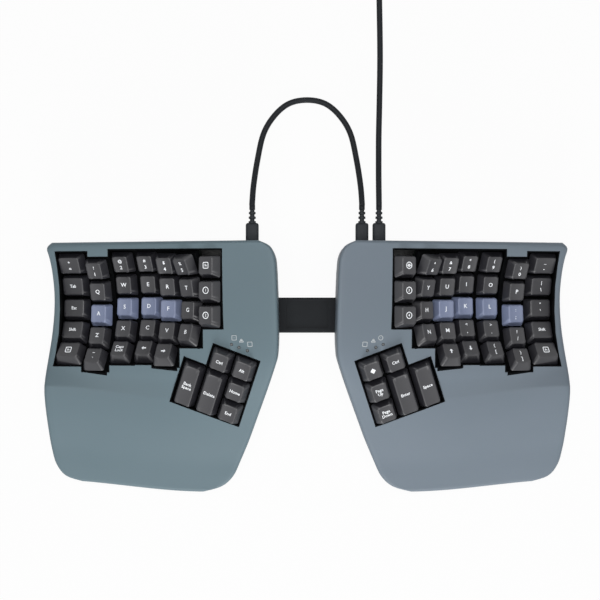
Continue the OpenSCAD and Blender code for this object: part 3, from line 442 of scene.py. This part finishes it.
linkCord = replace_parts(cordPiece("link_cord", linkPath), "link_cable")
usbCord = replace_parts(cordPiece("usb_cord", usbPath), "usb_cable", "usb_cable_coil")
print("cords", round(pathLength(linkPath), 3), round(pathLength(usbPath), 3))

# a boot is made of ribs: each runs on, dips to the neck, follows it and comes up a little smaller
boot = {"ribs": 3, "ribR": 3.05, "smaller": 0.12, "neckR": 1.9, "shares": (0.45, 0.08, 0.39, 0.08),
        "sides": 20, "sunk": 0.3}
devicePlug = {"shell": (10.6, 6.6), "long": cable["plug"], "ease": 1.9, "boot": cable["boot"],
              "tip": (8.1, 2.4), "tipLong": 6, "tipSunk": 0.5, "tipEase": 1.1}
computerPlug = {"shell": (15.6, 8), "long": 24, "ease": 1.8, "boot": 10,
                "tip": (12, 4.5), "tipLong": 12, "tipSunk": 1, "tipEase": 0.4}


def addBoot(shape, start, length, toward):
    # ribbed strain relief, turned as rings along the cable
    ring = bmesh.ops.create_circle(shape, cap_ends=False, segments=boot["sides"],
                                   radius=boot["ribR"])["verts"]
    bmesh.ops.transform(shape, matrix=Matrix.Translation(start) @ turned(-90 * toward, "X"), verts=ring)
    middle = Vector(start)
    edges = list({e for v in ring for e in v.link_edges})
    step = length / boot["ribs"]
    for n in range(boot["ribs"]):
        wide = boot["ribR"] - boot["smaller"] * n
        radii = (wide, boot["neckR"], boot["neckR"], wide - boot["smaller"])
        for share, radius in zip(boot["shares"], radii):
            made = bmesh.ops.extrude_edge_only(shape, edges=edges)["geom"]
            edges = picked(made, bmesh.types.BMEdge)
            middle = middle + Vector((0, toward * step * share, 0))
            for v in picked(made, bmesh.types.BMVert):
                side = v.co - middle
                side.y = 0
                v.co = middle + side.normalized() * radius
    bmesh.ops.holes_fill(shape, edges=edges, sides=0)
    bmesh.ops.holes_fill(shape, edges=list({e for v in ring for e in v.link_edges if e.is_boundary}), sides=0)


def addBar(shape, x, z, size, ends, ease, segments):
    # a rounded bar along y between two ends
    wide, high = size[0] / 2, size[1] / 2
    addBlock(shape, (x - wide, min(ends), z - high), (x + wide, max(ends), z + high), ease, segments)


def plugPiece(name, form, x, y, z, toward):
    # y is where the boot leaves the shell, and the metal tip lies at the shell's other end
    shape = bmesh.new()
    front = y - toward * form["long"]
    addBar(shape, x, z, form["shell"], (y, front), form["ease"], segments=3)
    addBoot(shape, (x, y - toward * boot["sunk"], z), form["boot"] + boot["sunk"], toward)
    bmesh.ops.recalc_face_normals(shape, faces=shape.faces[:])
    start = len(shape.faces)
    tipEnds = (front + toward * form["tipSunk"], front - toward * form["tipLong"])
    addBar(shape, x, z, form["tip"], tipEnds, form["tipEase"], segments=2)
    shape.faces.ensure_lookup_table()
    for face in shape.faces[start:]:
        face.material_index = 1
    return finishPiece(name, shape, [plugShell, steel], mainBody)


bootY = cordY - cable["boot"]
linkPlugLeft = plugPiece("link_plug_left", devicePlug, -linkX, bootY, socketZ, 1)
linkPlugRight = plugPiece("link_plug_right", devicePlug, linkX, bootY, socketZ, 1)
usbPlug = plugPiece("usb_plug_device", devicePlug, usbX, bootY, socketZ, 1)
hostPlug = plugPiece("usb_plug_computer", computerPlug, hostX, hostY + computerPlug["boot"], hostZ, -1)
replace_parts(hostPlug, "cable_plugs")

tie = {"corner": 4, "segments": 6, "wall": 1.0}
tieLow, tieHigh = (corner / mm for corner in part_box("cable_tie"))
tieShape = bmesh.new()
addBlock(tieShape, tieLow, tieHigh)
tieEdges = [e for e in tieShape.edges if abs(e.verts[0].co.y - e.verts[1].co.y) > 1]
roundEdges(tieShape, tieEdges, tie["corner"], tie["segments"])
tieEnds = [f for f in tieShape.faces if abs(f.normal.y) > 0.9]
bmesh.ops.delete(tieShape, geom=tieEnds, context="FACES_ONLY")
bmesh.ops.solidify(tieShape, geom=tieShape.faces[:], thickness=tie["wall"])
bmesh.ops.recalc_face_normals(tieShape, faces=tieShape.faces[:])
cableTie = finishPiece("cable_strap", tieShape, [strapWeave], mainBody, ["cable_tie"])

print("plugs and tie made")


# places of the keys

keys = {"pitch": 19.05, "width": 18, "depth": 17.6, "wider": 0.25, "taper": 5.4, "taperDepth": 3.8,
        "height": 7.8, "top": 13.5, "shift": 1, "corner": 1.7, "cornerSteps": 4, "edge": 0.8, "edgeSteps": 3,
        "dish": 0.7, "thumbDish": 0.35, "wall": 1.2, "cuts": 7, "stem": (7, 5.2), "stemLow": 0.4,
        "stemEase": 0.3, "roof": 1.6}
wells = {"tent": 17, "rowStep": 15.4, "rowLean": 2.7, "radius": 65, "homeX": 189, "homeZ": 28, "homeRow": 2,
         "flatPitch": 19.6, "flatRow": 1, "rows": (5, 5, 5, 5, 5, 4, 3), "drop": (0, 0.5, 9, 14, 8.5),
         "y": (49, 44.5, 50, 50.5, 48.5, 47.5, 60), "run": (0.852, 0.793), "climb": (0.515, 0.682),
         "roll": (17, 17, 17, 17, 17, 35, 30)}
thumbs = {"place": (-75, -13, 57), "turn": 20.5, "fall": 18, "rise": 6.5,
          "spots": ((0, 1, 1), (1, 1, 1), (1, 0, 1), (1, -1, 1), (-1, -0.5, 2), (0, -0.5, 2)),
          "cells": ((-0.5, 1.5), (1.5, 1.5), (1.5, -1.5), (-1.5, -1.5), (-1.5, 0.5), (-0.5, 0.5))}
pitch = keys["pitch"]
capLow = keys["top"] - keys["height"]
inner = len(wells["rows"]) - 1  # the innermost column is flat
tentSin, tentCos = math.sin(math.radians(wells["tent"])), math.cos(math.radians(wells["tent"]))
columns = []
for c, drop in enumerate(wells["drop"]):
    along = (c + keys["wider"] / 2) * pitch if c else 0
    columns.append((along * tentCos + drop * tentSin - wells["homeX"],
                    wells["homeZ"] + along * tentSin - drop * tentCos))
for run, climb in zip(wells["run"], wells["climb"]):
    columns.append((columns[-1][0] + run * pitch, columns[-1][1] + climb * pitch))


def keyPlace(c, r):
    lean = 0 if c == inner else (wells["homeRow"] - r) * wells["rowStep"] - wells["rowLean"]
    along = (wells["flatRow"] - r) * wells["flatPitch"] if c == inner else 0
    return (Matrix.Translation((columns[c][0], wells["y"][c], columns[c][1])) @ turned(-wells["roll"][c], "Y")
            @ Matrix.Translation((0, along, wells["radius"])) @ turned(lean, "X")
            @ Matrix.Translation((0, 0, -wells["radius"] - keys["top"])))


thumbPlane = (Matrix.Translation(thumbs["place"]) @ turned(-thumbs["turn"], "Z")
              @ turned(-thumbs["rise"], "Y") @ turned(thumbs["fall"], "X")
              @ Matrix.Translation((0, 0, -keys["top"])))


def thumbPlace(k):
    across, along, _ = thumbs["spots"][k]
    return thumbPlane @ Matrix.Translation((across * pitch, along * pitch, 0))


def sided(place, side):
    return place if side == "left" else flip @ place @ flip


def capWidth(c):
    return keys["width"] + (keys["wider"] * pitch if c == 0 else 0)


# caps

def capDish(x, width, depth):
    half = (width - keys["taper"]) / 2
    return -depth * max(0, 1 - (x / half) ** 2)


def capMesh(name, width, depth, shift, dish):
    shape = bmesh.new()
    bmesh.ops.create_cube(shape, size=1)
    flat = [e for e in shape.edges if abs(e.verts[0].co.z - e.verts[1].co.z) < 0.5]
    bmesh.ops.subdivide_edges(shape, edges=flat, cuts=keys["cuts"], use_grid_fill=True)
    for v in shape.verts:
        high = v.co.z > 0
        v.co = Vector((v.co.x * (width - (keys["taper"] if high else 0)),
                       v.co.y * (depth - (keys["taperDepth"] if high else 0)) + (shift if high else 0),
                       keys["top"] if high else capLow))
    shape.normal_update()
    bmesh.ops.delete(shape, geom=[f for f in shape.faces if f.normal.z < -0.9], context="FACES")
    corners = [e for e in shape.edges if abs(e.verts[0].co.z - e.verts[1].co.z) > 1
               and len({round(f.normal.x, 1) for f in e.link_faces}) > 1]
    roundEdges(shape, corners, keys["corner"], keys["cornerSteps"])
    shape.normal_update()
    rim = [e for e in shape.edges if len(e.link_faces) == 2
           and (e.link_faces[0].normal.z > 0.99) != (e.link_faces[1].normal.z > 0.99)]
    roundEdges(shape, rim, keys["edge"], keys["edgeSteps"])
    for v in shape.verts:
        if v.co.z > keys["top"] - keys["edge"]:
            v.co.z += capDish(v.co.x, width, dish)
    bmesh.ops.remove_doubles(shape, verts=shape.verts[:], dist=0.01)
    outwards(shape)
    mesh = walled(meshFrom(shape, name), keys["wall"])
    shape = bmesh.new()
    shape.from_mesh(mesh)
    # the wall's lower edge lies level with the foot
    for v in shape.verts:
        v.co.z = max(v.co.z, capLow)
    stemX, stemY = (side / 2 for side in keys["stem"])
    stemTop = keys["top"] - keys["roof"]
    addBlock(shape, (-stemX, -stemY, keys["stemLow"]), (stemX, stemY, stemTop), keys["stemEase"], 1)
    shape.to_mesh(mesh)
    shape.free()
    return mesh


capShapes = {
    "single": capMesh("cap_single", keys["width"], keys["depth"], keys["shift"], keys["dish"]),
    "wide": capMesh("cap_wide", capWidth(0), keys["depth"], keys["shift"], keys["dish"]),
    "thumb": capMesh("cap_thumb", keys["width"], keys["depth"], 0, keys["thumbDish"]),
    "tall": capMesh("cap_tall", keys["width"], keys["depth"] + pitch, 0, keys["thumbDish"]),
}


# legends, plain letters and signs

legend = {"letter": 4.6, "word": 3.5, "pair": 4.3, "upper": 0.85, "gap": 5.7, "leading": 0.9, "thick": 0.08,
          "lift": 0.04, "bold": 0.04, "line": 0.6, "ring": (2.8, 24), "ringLetter": 3, "layer": (2.6, 0.9),
          "layerLetter": 2.9, "globe": (1.2, 16), "equator": (2.3, -0.2, 0.2), "diamond": (2.2, 4)}
arrow = [(-1.9, 0), (-0.3, 1.5), (-0.3, 0.5), (1.9, 0.5), (1.9, -0.5), (-0.3, -0.5), (-0.3, -1.5)]
arrowTurns = {"left": 0, "down": 90, "right": 180, "up": 270}


def writing(text, size, y=0):
    words = bpy.data.curves.new("writing", "FONT")
    words.body = text
    words.size = size
    words.align_x = "CENTER"
    words.align_y = "CENTER"
    words.resolution_u = 2
    words.extrude = legend["thick"] / 2
    words.offset = legend["bold"]
    words.space_line = legend["leading"]
    piece = bpy.data.objects.new("writing", words)
    scene.collection.objects.link(piece)
    mesh = evaluated(piece)
    mesh.transform(Matrix.Translation((0, y, 0)))
    bpy.data.objects.remove(piece)
    return mesh


def flatSign(outline, line=0.0):
    # a thin plate from a few corners, with its middle taken out to leave a line
    shape = bmesh.new()
    face = shape.faces.new([shape.verts.new((x, y, -legend["thick"] / 2)) for x, y in outline])
    face.normal_update()
    if line:
        bmesh.ops.inset_individual(shape, faces=[face], thickness=line, use_even_offset=True)
        bmesh.ops.delete(shape, geom=[face], context="FACES_ONLY")
    return meshFrom(raised(shape, legend["thick"]), "sign")


def circle(radius, count):
    turns = [2 * math.pi * n / count for n in range(count)]
    return [(radius * math.cos(turn), radius * math.sin(turn)) for turn in turns]


def roundedSquare(half, corner):
    return [(sx * (half - corner) + corner * math.cos(a), sy * (half - corner) + corner * math.sin(a))
            for sx, sy, quarter in ((1, 1, 0), (-1, 1, 1), (-1, -1, 2), (1, -1, 3))
            for a in [math.radians(90 * quarter + 30 * n) for n in range(4)]]


def bar(half, low, high):
    return [(-half, low), (half, low), (half, high), (-half, high)]


def legendParts(mark):
    line = legend["line"]
    if mark.startswith("ring"):
        return [flatSign(circle(*legend["ring"]), line), writing(mark[-1], legend["ringLetter"])]
    if mark == "layer":
        return [flatSign(roundedSquare(*legend["layer"]), line), writing("fn", legend["layerLetter"])]
    if mark == "globe":
        return [flatSign(circle(*legend["ring"]), line), flatSign(circle(*legend["globe"]), line),
                flatSign(bar(*legend["equator"]))]
    if mark == "diamond":
        return [flatSign(circle(*legend["diamond"]))]
    if mark in arrowTurns:
        sign = flatSign(arrow)
        sign.transform(turned(arrowTurns[mark], "Z"))
        return [sign]
    if " " in mark and len(mark) == 3:
        upper, lower = mark.split(" ")
        return [writing(upper, legend["pair"] * legend["upper"], legend["gap"] / 2),
                writing(lower, legend["pair"], -legend["gap"] / 2)]
    if len(mark) == 1:
        return [writing(mark, legend["letter"])]
    return [writing(mark.replace(" ", "\n"), legend["word"])]


def addLegend(shape, mark, place, width, shift, dish):
    for mesh in legendParts(mark):
        for v in mesh.vertices:
            v.co.z += keys["top"] + capDish(v.co.x, width, dish) + legend["lift"]
            v.co.y += shift
        addCopy(shape, mesh, place)


# by column from the outside, each from rear to front
fingerMarks = {
    "left": (("+ =", "Tab", "Esc", "Shift", "layer"), ("! 1", "Q", "A", "Z", "~ `"),
             ("@ 2", "W", "S", "X", "Caps Lock"), ("# 3", "E", "D", "C", "left"),
             ("$ 4", "R", "F", "V", "right"), ("% 5", "T", "G", "B"), ("layer", "ring1", "ring2")),
    "right": (("_ -", "| \\", "\" '", "Shift", "layer"), (") 0", "P", ": ;", "? /", "} ]"),
              ("( 9", "O", "L", "> .", "{ ["), ("* 8", "I", "K", "< ,", "down"),
              ("& 7", "U", "J", "M", "up"), ("^ 6", "Y", "H", "N"), ("globe", "ring3", "ring4")),
}
thumbMarks = {"left": ("Ctrl", "Alt", "Home", "End", "Back Space", "Delete"),
              "right": ("Ctrl", "diamond", "Page Up", "Page Down", "Space", "Enter")}
# keys that go down together, as column and row
banks = {"number_row": [(c, 0) for c in range(5)], "upper_row": [(c, 1) for c in range(5)],
         "home_edge": [(0, 2)], "home_row": [(c, 2) for c in range(1, 5)],
         "lower_row": [(c, 3) for c in range(5)], "bottom_row": [(c, 4) for c in range(5)],
         "inner_bank": [(6, r) for r in range(3)]}
banks.update({f"reach_{r + 1}": [(5, r)] for r in range(4)})

for side in ("left", "right"):
    for bank, spots in banks.items():
        node = f"{side}_{bank}"
        body = f"{side}_home_row" if bank == "home_edge" else node
        caps, marks = bmesh.new(), bmesh.new()
        for c, r in spots:
            place = sided(keyPlace(c, r), side)
            addCopy(caps, capShapes["wide" if c == 0 else "single"], place)
            addLegend(marks, fingerMarks[side][c][r], place, capWidth(c), keys["shift"], keys["dish"])
        accent = bank == "home_row"
        finishPiece(node + "_caps", caps, [capAccent if accent else capDark], body,
                    [node])
        finishPiece(node + "_legends", marks, [legendWhite], body)
    for k, (_, _, units) in enumerate(thumbs["spots"]):
        node = f"{side}_thumb_{k + 1}"
        caps, marks = bmesh.new(), bmesh.new()
        place = sided(thumbPlace(k), side)
        addCopy(caps, capShapes["tall" if units == 2 else "thumb"], place)
        addLegend(marks, thumbMarks[side][k], place, keys["width"], 0, keys["thumbDish"])
        finishPiece(node + "_cap", caps, [capDark], node, [node])
        finishPiece(node + "_legend", marks, [legendWhite], node)
print("caps and legends made")


# cases

case = {"edge": 3, "edgeTurns": (22, 45, 67, 90), "wall": 2.6, "partLine": 6.05, "below": 10, "crease": 10,
        "perRow": 4, "across": 56, "bowScale": 6.75, "rearInset": (0.61, 0.39), "frontInset": 0.38,
        "wellGap": 1.5, "thumbGap": 1.2, "cutTop": 100, "bridge": (41, 28.8, 16.3), "bridgeReach": 40,
        "bridgePlay": 0.3, "socket": (9.6, 4.2), "socketRun": (92, 112), "lightHole": (1.25, 20),
        "lightRun": (-14, 6), "lights": ((6.71, 0.801), (6.89, 0.833), (7.1, 0.87)),
        "press": (1.35, -1.6, 1.2),
        "edgeKeys": ((0, 0), (1, 0), (2, 0), (3, 0), (0, 4), (1, 4), (2, 4), (3, 4), (4, 4), (5, 3),
                     (6, 0), (6, 1), (6, 2)),
        "edgeThumbs": (0, 1, 4), "smoothAngle": 40, "lip": 0.35, "lipAngle": 50}
# deck rows from rear to front: outer x y z, inner x y z, bow, bend
deckRows = (
    (-205.8, 99.6, 35.5, -38.5, 100.2, 70, 0, 0.95),
    (-209.8, 95, 36, -29.5, 95.8, 71, 0, 0.95),
    (-207.8, 87, 35.8, -25.4, 88, 71.5, 0, 0.95),
    (-205.7, 76, 35, -24.2, 76, 71.5, 0, 0.95),
    (-204.2, 60, 34, -23.6, 60, 71.5, 0, 0.95),
    (-204.3, 44, 33.5, -23.1, 44, 71, 0, 0.95),
    (-205.8, 27, 33.5, -22.8, 29, 70, 0, 1),
    (-207.8, 12, 35, -23, 17, 68, -2, 1.1),
    (-209.6, -1, 37.5, -23.8, 7, 65, -7, 1.27),
    (-210.4, -9, 40, -26.4, -2, 61.5, -10, 1.8),
    (-210.8, -15.6, 42, -30, -13, 56.5, -12, 2.2),
    (-210.9, -23, 41, -34, -24.5, 51.5, -11.5, 2.4),
    (-210.2, -36, 38, -40, -41, 45, -9, 2.4),
    (-208.9, -52, 33, -46.5, -59, 38.5, -6, 2.2),
    (-207.4, -66, 28, -54, -77, 32, -3, 1.8),
    (-204.2, -80, 24, -60, -89.5, 28.5, -1, 1.6),
    (-196.8, -90, 21, -69.5, -98.2, 25.5, -1.2, 1.6),
    (-183, -94.8, 19.5, -85, -102.8, 23.5, -1.2, 1.6),
)
lastRow = len(deckRows) - 1


def rowAt(i):
    # smooth between the rows, but not across the crease
    k = min(int(i), lastRow - 1)
    low, high = (0, case["crease"]) if k < case["crease"] else (case["crease"], lastRow)
    rows = [deckRows[min(max(k + n, low), high)] for n in (-1, 0, 1, 2)]
    return [smoothed(*values, i - k) for values in zip(*rows)]


def deckPoint(i, s):
    ox, oy, oz, ix, iy, iz, bow, bend = rowAt(i)
    return Vector((ox + (ix - ox) * s, oy + (iy - oy) * s + bow * case["bowScale"] * s * s * (1 - s),
                   oz + (iz - oz) * s ** bend))


def insetRow(i):
    # the first and last row are drawn in by the edge radius
    if i < 1:
        start, rest = case["rearInset"]
        return start + rest * i
    return lastRow - 1 + case["frontInset"] * (i - lastRow + 1) if i > lastRow - 1 else i


def insetPoint(i, s):
    row = deckRows[min(int(i), lastRow)]
    margin = case["edge"] / (row[3] - row[0])
    return deckPoint(insetRow(i), margin + (1 - 2 * margin) * s)


def gridOf(place):
    # a fine grid over the deck, each point set by its row and its share across
    shape = bmesh.new()
    rowCount = lastRow * case["perRow"]
    bmesh.ops.create_grid(shape, x_segments=case["across"], y_segments=rowCount, size=0.5)
    reach = max(v.co.x for v in shape.verts)
    spots = {}
    for v in shape.verts:
        spots[v] = (round((0.5 - v.co.y / reach / 2) * rowCount) / case["perRow"], v.co.x / reach / 2 + 0.5)
        v.co = place(*spots[v])
    return shape, spots


def skirted(shape, spots, rings):
    # runs the open edge down through rings of points and closes the underside
    edges = [e for e in shape.edges if e.is_boundary]
    for place in rings:
        made = bmesh.ops.extrude_edge_only(shape, edges=edges)["geom"]
        edges = [e for e in picked(made, bmesh.types.BMEdge) if e.is_boundary]
        fresh = picked(made, bmesh.types.BMVert)
        above = {v: next(e.other_vert(v) for e in v.link_edges if e.other_vert(v) in spots) for v in fresh}
        for v in fresh:
            spots[v] = spots[above[v]]
            v.co = place(*spots[v])
    bmesh.ops.contextual_create(shape, geom=edges)
    bmesh.ops.recalc_face_normals(shape, faces=shape.faces[:])
    return shape


def roundedEdge(turn):
    angle = math.radians(turn)
    drop = Vector((0, 0, case["edge"] * (1 - math.cos(angle))))
    return lambda i, s: insetPoint(i, s).lerp(deckPoint(i, s), math.sin(angle)) - drop


def deckShape():
    rings = [roundedEdge(turn) for turn in case["edgeTurns"]]
    rings.append(lambda i, s: Vector((*deckPoint(i, s).xy, case["partLine"])))
    return skirted(*gridOf(insetPoint), rings)


def hollowShape():
    # what is taken out from below, so that the wall stays
    def ceiling(i, s):
        return insetPoint(i, s) - Vector((0, 0, case["wall"]))

    def foot(i, s):
        return Vector((*insetPoint(i, s).xy, case["partLine"] - case["below"]))

    return skirted(*gridOf(ceiling), [foot])


def footCorner(c, r, su, sv):
    return keyPlace(c, r) @ Vector((su * capWidth(c) / 2, sv * keys["depth"] / 2, capLow))


def frontY(c):
    return footCorner(c, wells["rows"][c] - 1, 0, -1).y


# the two outer columns keep their own rear line, the others share one
rearOwn = [footCorner(c, 0, 0, 1).y for c in range(inner + 1)]
rearLine = rearOwn[:2] + [max(rearOwn[2:])] * (inner - 1)


def sideX(c, r, su):
    return [footCorner(c, r, su, sv).x for sv in (-1, 1)]


def frontStep(c):
    if frontY(c + 1) > frontY(c):
        return max(sideX(c, wells["rows"][c] - 1, 1))
    return min(sideX(c + 1, wells["rows"][c + 1] - 1, -1))


def rearStep(c):
    return min(sideX(c + 1, 0, -1)) if rearLine[c + 1] > rearLine[c] else max(sideX(c, 0, 1))


# from the outer rear corner down the outer side, along the front steps and back along the rear ones
outerRows, innerRows = wells["rows"][0], wells["rows"][inner]
wellOutline = [footCorner(0, 0, -1, 1).xy] + [footCorner(0, r, -1, 0).xy for r in range(outerRows)]
wellOutline.append(footCorner(0, outerRows - 1, -1, -1).xy)
for c in range(inner):
    wellOutline += [Vector((frontStep(c), frontY(c + n))) for n in (0, 1)]
wellOutline += [Vector((footCorner(inner, innerRows - 1, 1, -1).x, frontY(inner))),
                Vector((footCorner(inner, 0, 1, 1).x, rearLine[inner]))]
for c in reversed(range(inner)):
    wellOutline += [Vector((rearStep(c), rearLine[c + n])) for n in (1, 0)]
thumbOutline = [(thumbPlane @ Vector((x * pitch, y * pitch, capLow))).xy for x, y in thumbs["cells"]]


def grown(outline, gap):
    # mitred offset of a closed outline
    points = [p for n, p in enumerate(outline) if (p - outline[n - 1]).length > 0.01]
    turn = sum(points[n - 1].cross(p) for n, p in enumerate(points))
    made = []
    for n, p in enumerate(points):
        u = (p - points[n - 1]).normalized()
        v = (points[(n + 1) % len(points)] - p).normalized()
        a, b = Vector((u.y, -u.x)), Vector((v.y, -v.x))
        made.append(p + (a + b) / (1 + a.dot(b)) * (gap if turn > 0 else -gap))
    return made


def prism(outline, low, high):
    shape = bmesh.new()
    shape.faces.new([shape.verts.new((p[0], p[1], low)) for p in outline])
    return raised(shape, high - low)


def block(low, high):
    shape = bmesh.new()
    addBlock(shape, low, high)
    return shape


def sweeps(turn):
    # room for every second cap at the edge of a well to go down without touching the case
    grow, low, high = case["press"]
    spots = [(keyPlace(c, r), capWidth(c), keys["depth"]) for c, r in case["edgeKeys"]
             if (r if c == inner else c) % 2 == turn]
    spots += [(thumbPlace(k), keys["width"], keys["depth"] + pitch * (thumbs["spots"][k][2] - 1))
              for k in case["edgeThumbs"] if bool(k) == bool(turn)]
    shape = bmesh.new()
    for place, width, depth in spots:
        x, y = width / 2 + grow, depth / 2 + grow
        addCopy(shape, meshFrom(block((-x, -y, low), (x, y, capLow + high)), "sweep"), place)
    return shape


def cutWith(mesh, cutters):
    # takes the cutters out of a closed solid
    target = bpy.data.objects.new("case_work", mesh)
    scene.collection.objects.link(target)
    tools = []
    for n, shape in enumerate(cutters):
        tool = bpy.data.objects.new(f"cutter_{n}", meshFrom(shape, f"cutter_{n}"))
        scene.collection.objects.link(tool)
        cut = target.modifiers.new(f"cut_{n}", "BOOLEAN")
        cut.operation = "DIFFERENCE"
        cut.solver = "EXACT"
        cut.object = tool
        tools.append(tool)
    result = evaluated(target)
    for piece in tools + [target]:
        bpy.data.objects.remove(piece)
    return result


def socketCut(x):
    wide, high = (size / 2 for size in case["socket"])
    rear, front = case["socketRun"]
    return block((-x - wide, rear, socketZ - high), (-x + wide, front, socketZ + high))


def lightCut(spot):
    middle = deckPoint(*spot)
    low, high = case["lightRun"]
    outline = [Vector(p) + middle.xy for p in circle(*case["lightHole"])]
    return prism(outline, middle.z + low, middle.z + high)


bridgeY, bridgeDepth, bridgeTop = case["bridge"]
bridgeHalf = bridgeDepth / 2 + case["bridgePlay"]
for side, paint, sockets in (("left", leftPaintShaded, (linkX,)), ("right", rightPaintLit, (linkX, usbX))):
    cutters = [hollowShape(), prism(grown(wellOutline, case["wellGap"]), 0, case["cutTop"]),
               prism(grown(thumbOutline, case["thumbGap"]), 0, case["cutTop"]), sweeps(0), sweeps(1),
               block((-case["bridgeReach"], bridgeY - bridgeHalf, 0), (0, bridgeY + bridgeHalf, bridgeTop))]
    cutters += [socketCut(x) for x in sockets] + [lightCut(spot) for spot in case["lights"]]
    mesh = cutWith(meshFrom(deckShape(), side + "_deck"), cutters)
    if side == "right":
        mesh.transform(flip)
        mesh.flip_normals()
    piece = finishMesh(side + "_case_shell", mesh, [paint], case["smoothAngle"])
    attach(piece, mainBody)
    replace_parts(piece, side + "_top_case")
    easeEdges(piece, "moulded_edges", case["lip"], case["lipAngle"]).harden_normals = True
print("case shells made")


# printed signs behind the indicator lights

signs = {"left": (("square", 2.0), ("lock", 1.7), ("page", 2.0)),
         "right": (("clock", 2.0), ("lock", 1.7), ("page", 2.0)),
         "line": 0.5, "lift": 0.14, "behind": 4.8, "rowDepth": 13, "aside": 0.01, "rowReach": 0.1,
         "reach": 0.02, "clockSides": 20, "hand": (0.14, -0.1, 0.9), "body": (-1.3, 0.1),
         "dash": (0.7, -0.15, 0.15), "corners": (0.5, 0.3),
         "shackle": ((-0.9, 0.1), (0.9, 0.1), (0.9, 1), (0.4, 1.6), (-0.4, 1.6), (-0.9, 1))}


def signParts(kind, half):
    line = signs["line"]
    pageCorner, squareCorner = signs["corners"]
    if kind == "clock":
        return [flatSign(circle(half, signs["clockSides"]), line), flatSign(bar(*signs["hand"]))]
    if kind == "lock":
        return [flatSign(bar(half, *signs["body"]), line), flatSign(signs["shackle"], line)]
    if kind == "page":
        return [flatSign(roundedSquare(half, pageCorner), line)]
    return [flatSign(roundedSquare(half, squareCorner), line), flatSign(bar(*signs["dash"]))]


def signPlace(i, s):
    # lies on the deck, a little behind a light
    back, aside = i - signs["behind"] / signs["rowDepth"], s + signs["aside"]
    reach, rowReach = signs["reach"], signs["rowReach"]
    across = (deckPoint(back, aside + reach) - deckPoint(back, aside - reach)).normalized()
    up = across.cross(deckPoint(back - rowReach, aside) - deckPoint(back + rowReach, aside)).normalized()
    if up.z < 0:
        up = -up
    place = Matrix((across, up.cross(across), up)).transposed().to_4x4()
    place.translation = deckPoint(back, aside) + up * (signs["lift"] + legend["thick"] / 2)
    return place


for side in ("left", "right"):
    marks = bmesh.new()
    for spot, (kind, half) in zip(case["lights"], signs[side]):
        for mesh in signParts(kind, half):
            addCopy(marks, mesh, sided(signPlace(*spot), side))
    finishPiece(side + "_light_signs", marks, [printGrey], mainBody)
print("signs made")


# carried-over pieces keep their shape and get welded, eased edges and a finish

dressing = {"weld": 0.002, "angle": 45}
# each piece's finish and the width of its eased edges in millimetres
sideFinishes = {"base": (baseBlack, 0.4), "key_well": (wellBlack, 0), "thumb_well": (wellBlack, 0),
                "mid_foot": (footGrey, 0.4), "high_foot": (footGrey, 0.4), "foot_button": (buttonGrey, 0.4)}
finishes = {"switch_housings": (switchBlack, 0), "circuit_boards": (boardBlack, 0),
            "case_screws": (steel, 0.2), "rubber_feet": (rubberPad, 0.4), "usb_sockets": (steel, 0),
            "indicator_lights": (lightPipe, 0), "bridge_plate": (bridgeBlack, 0.5)}
for side in ("left", "right"):
    finishes.update({f"{side}_{name}": finish for name, finish in sideFinishes.items()})
for node, (material, ease) in finishes.items():
    piece = nodes[node]
    piece.data.materials.clear()
    piece.data.materials.append(material)
    if ease:
        weld = piece.modifiers.new("weld", "WELD")
        weld.merge_threshold = dressing["weld"] * mm
        easeEdges(piece, "eased_edges", ease, dressing["angle"])
print("carried-over pieces dressed")
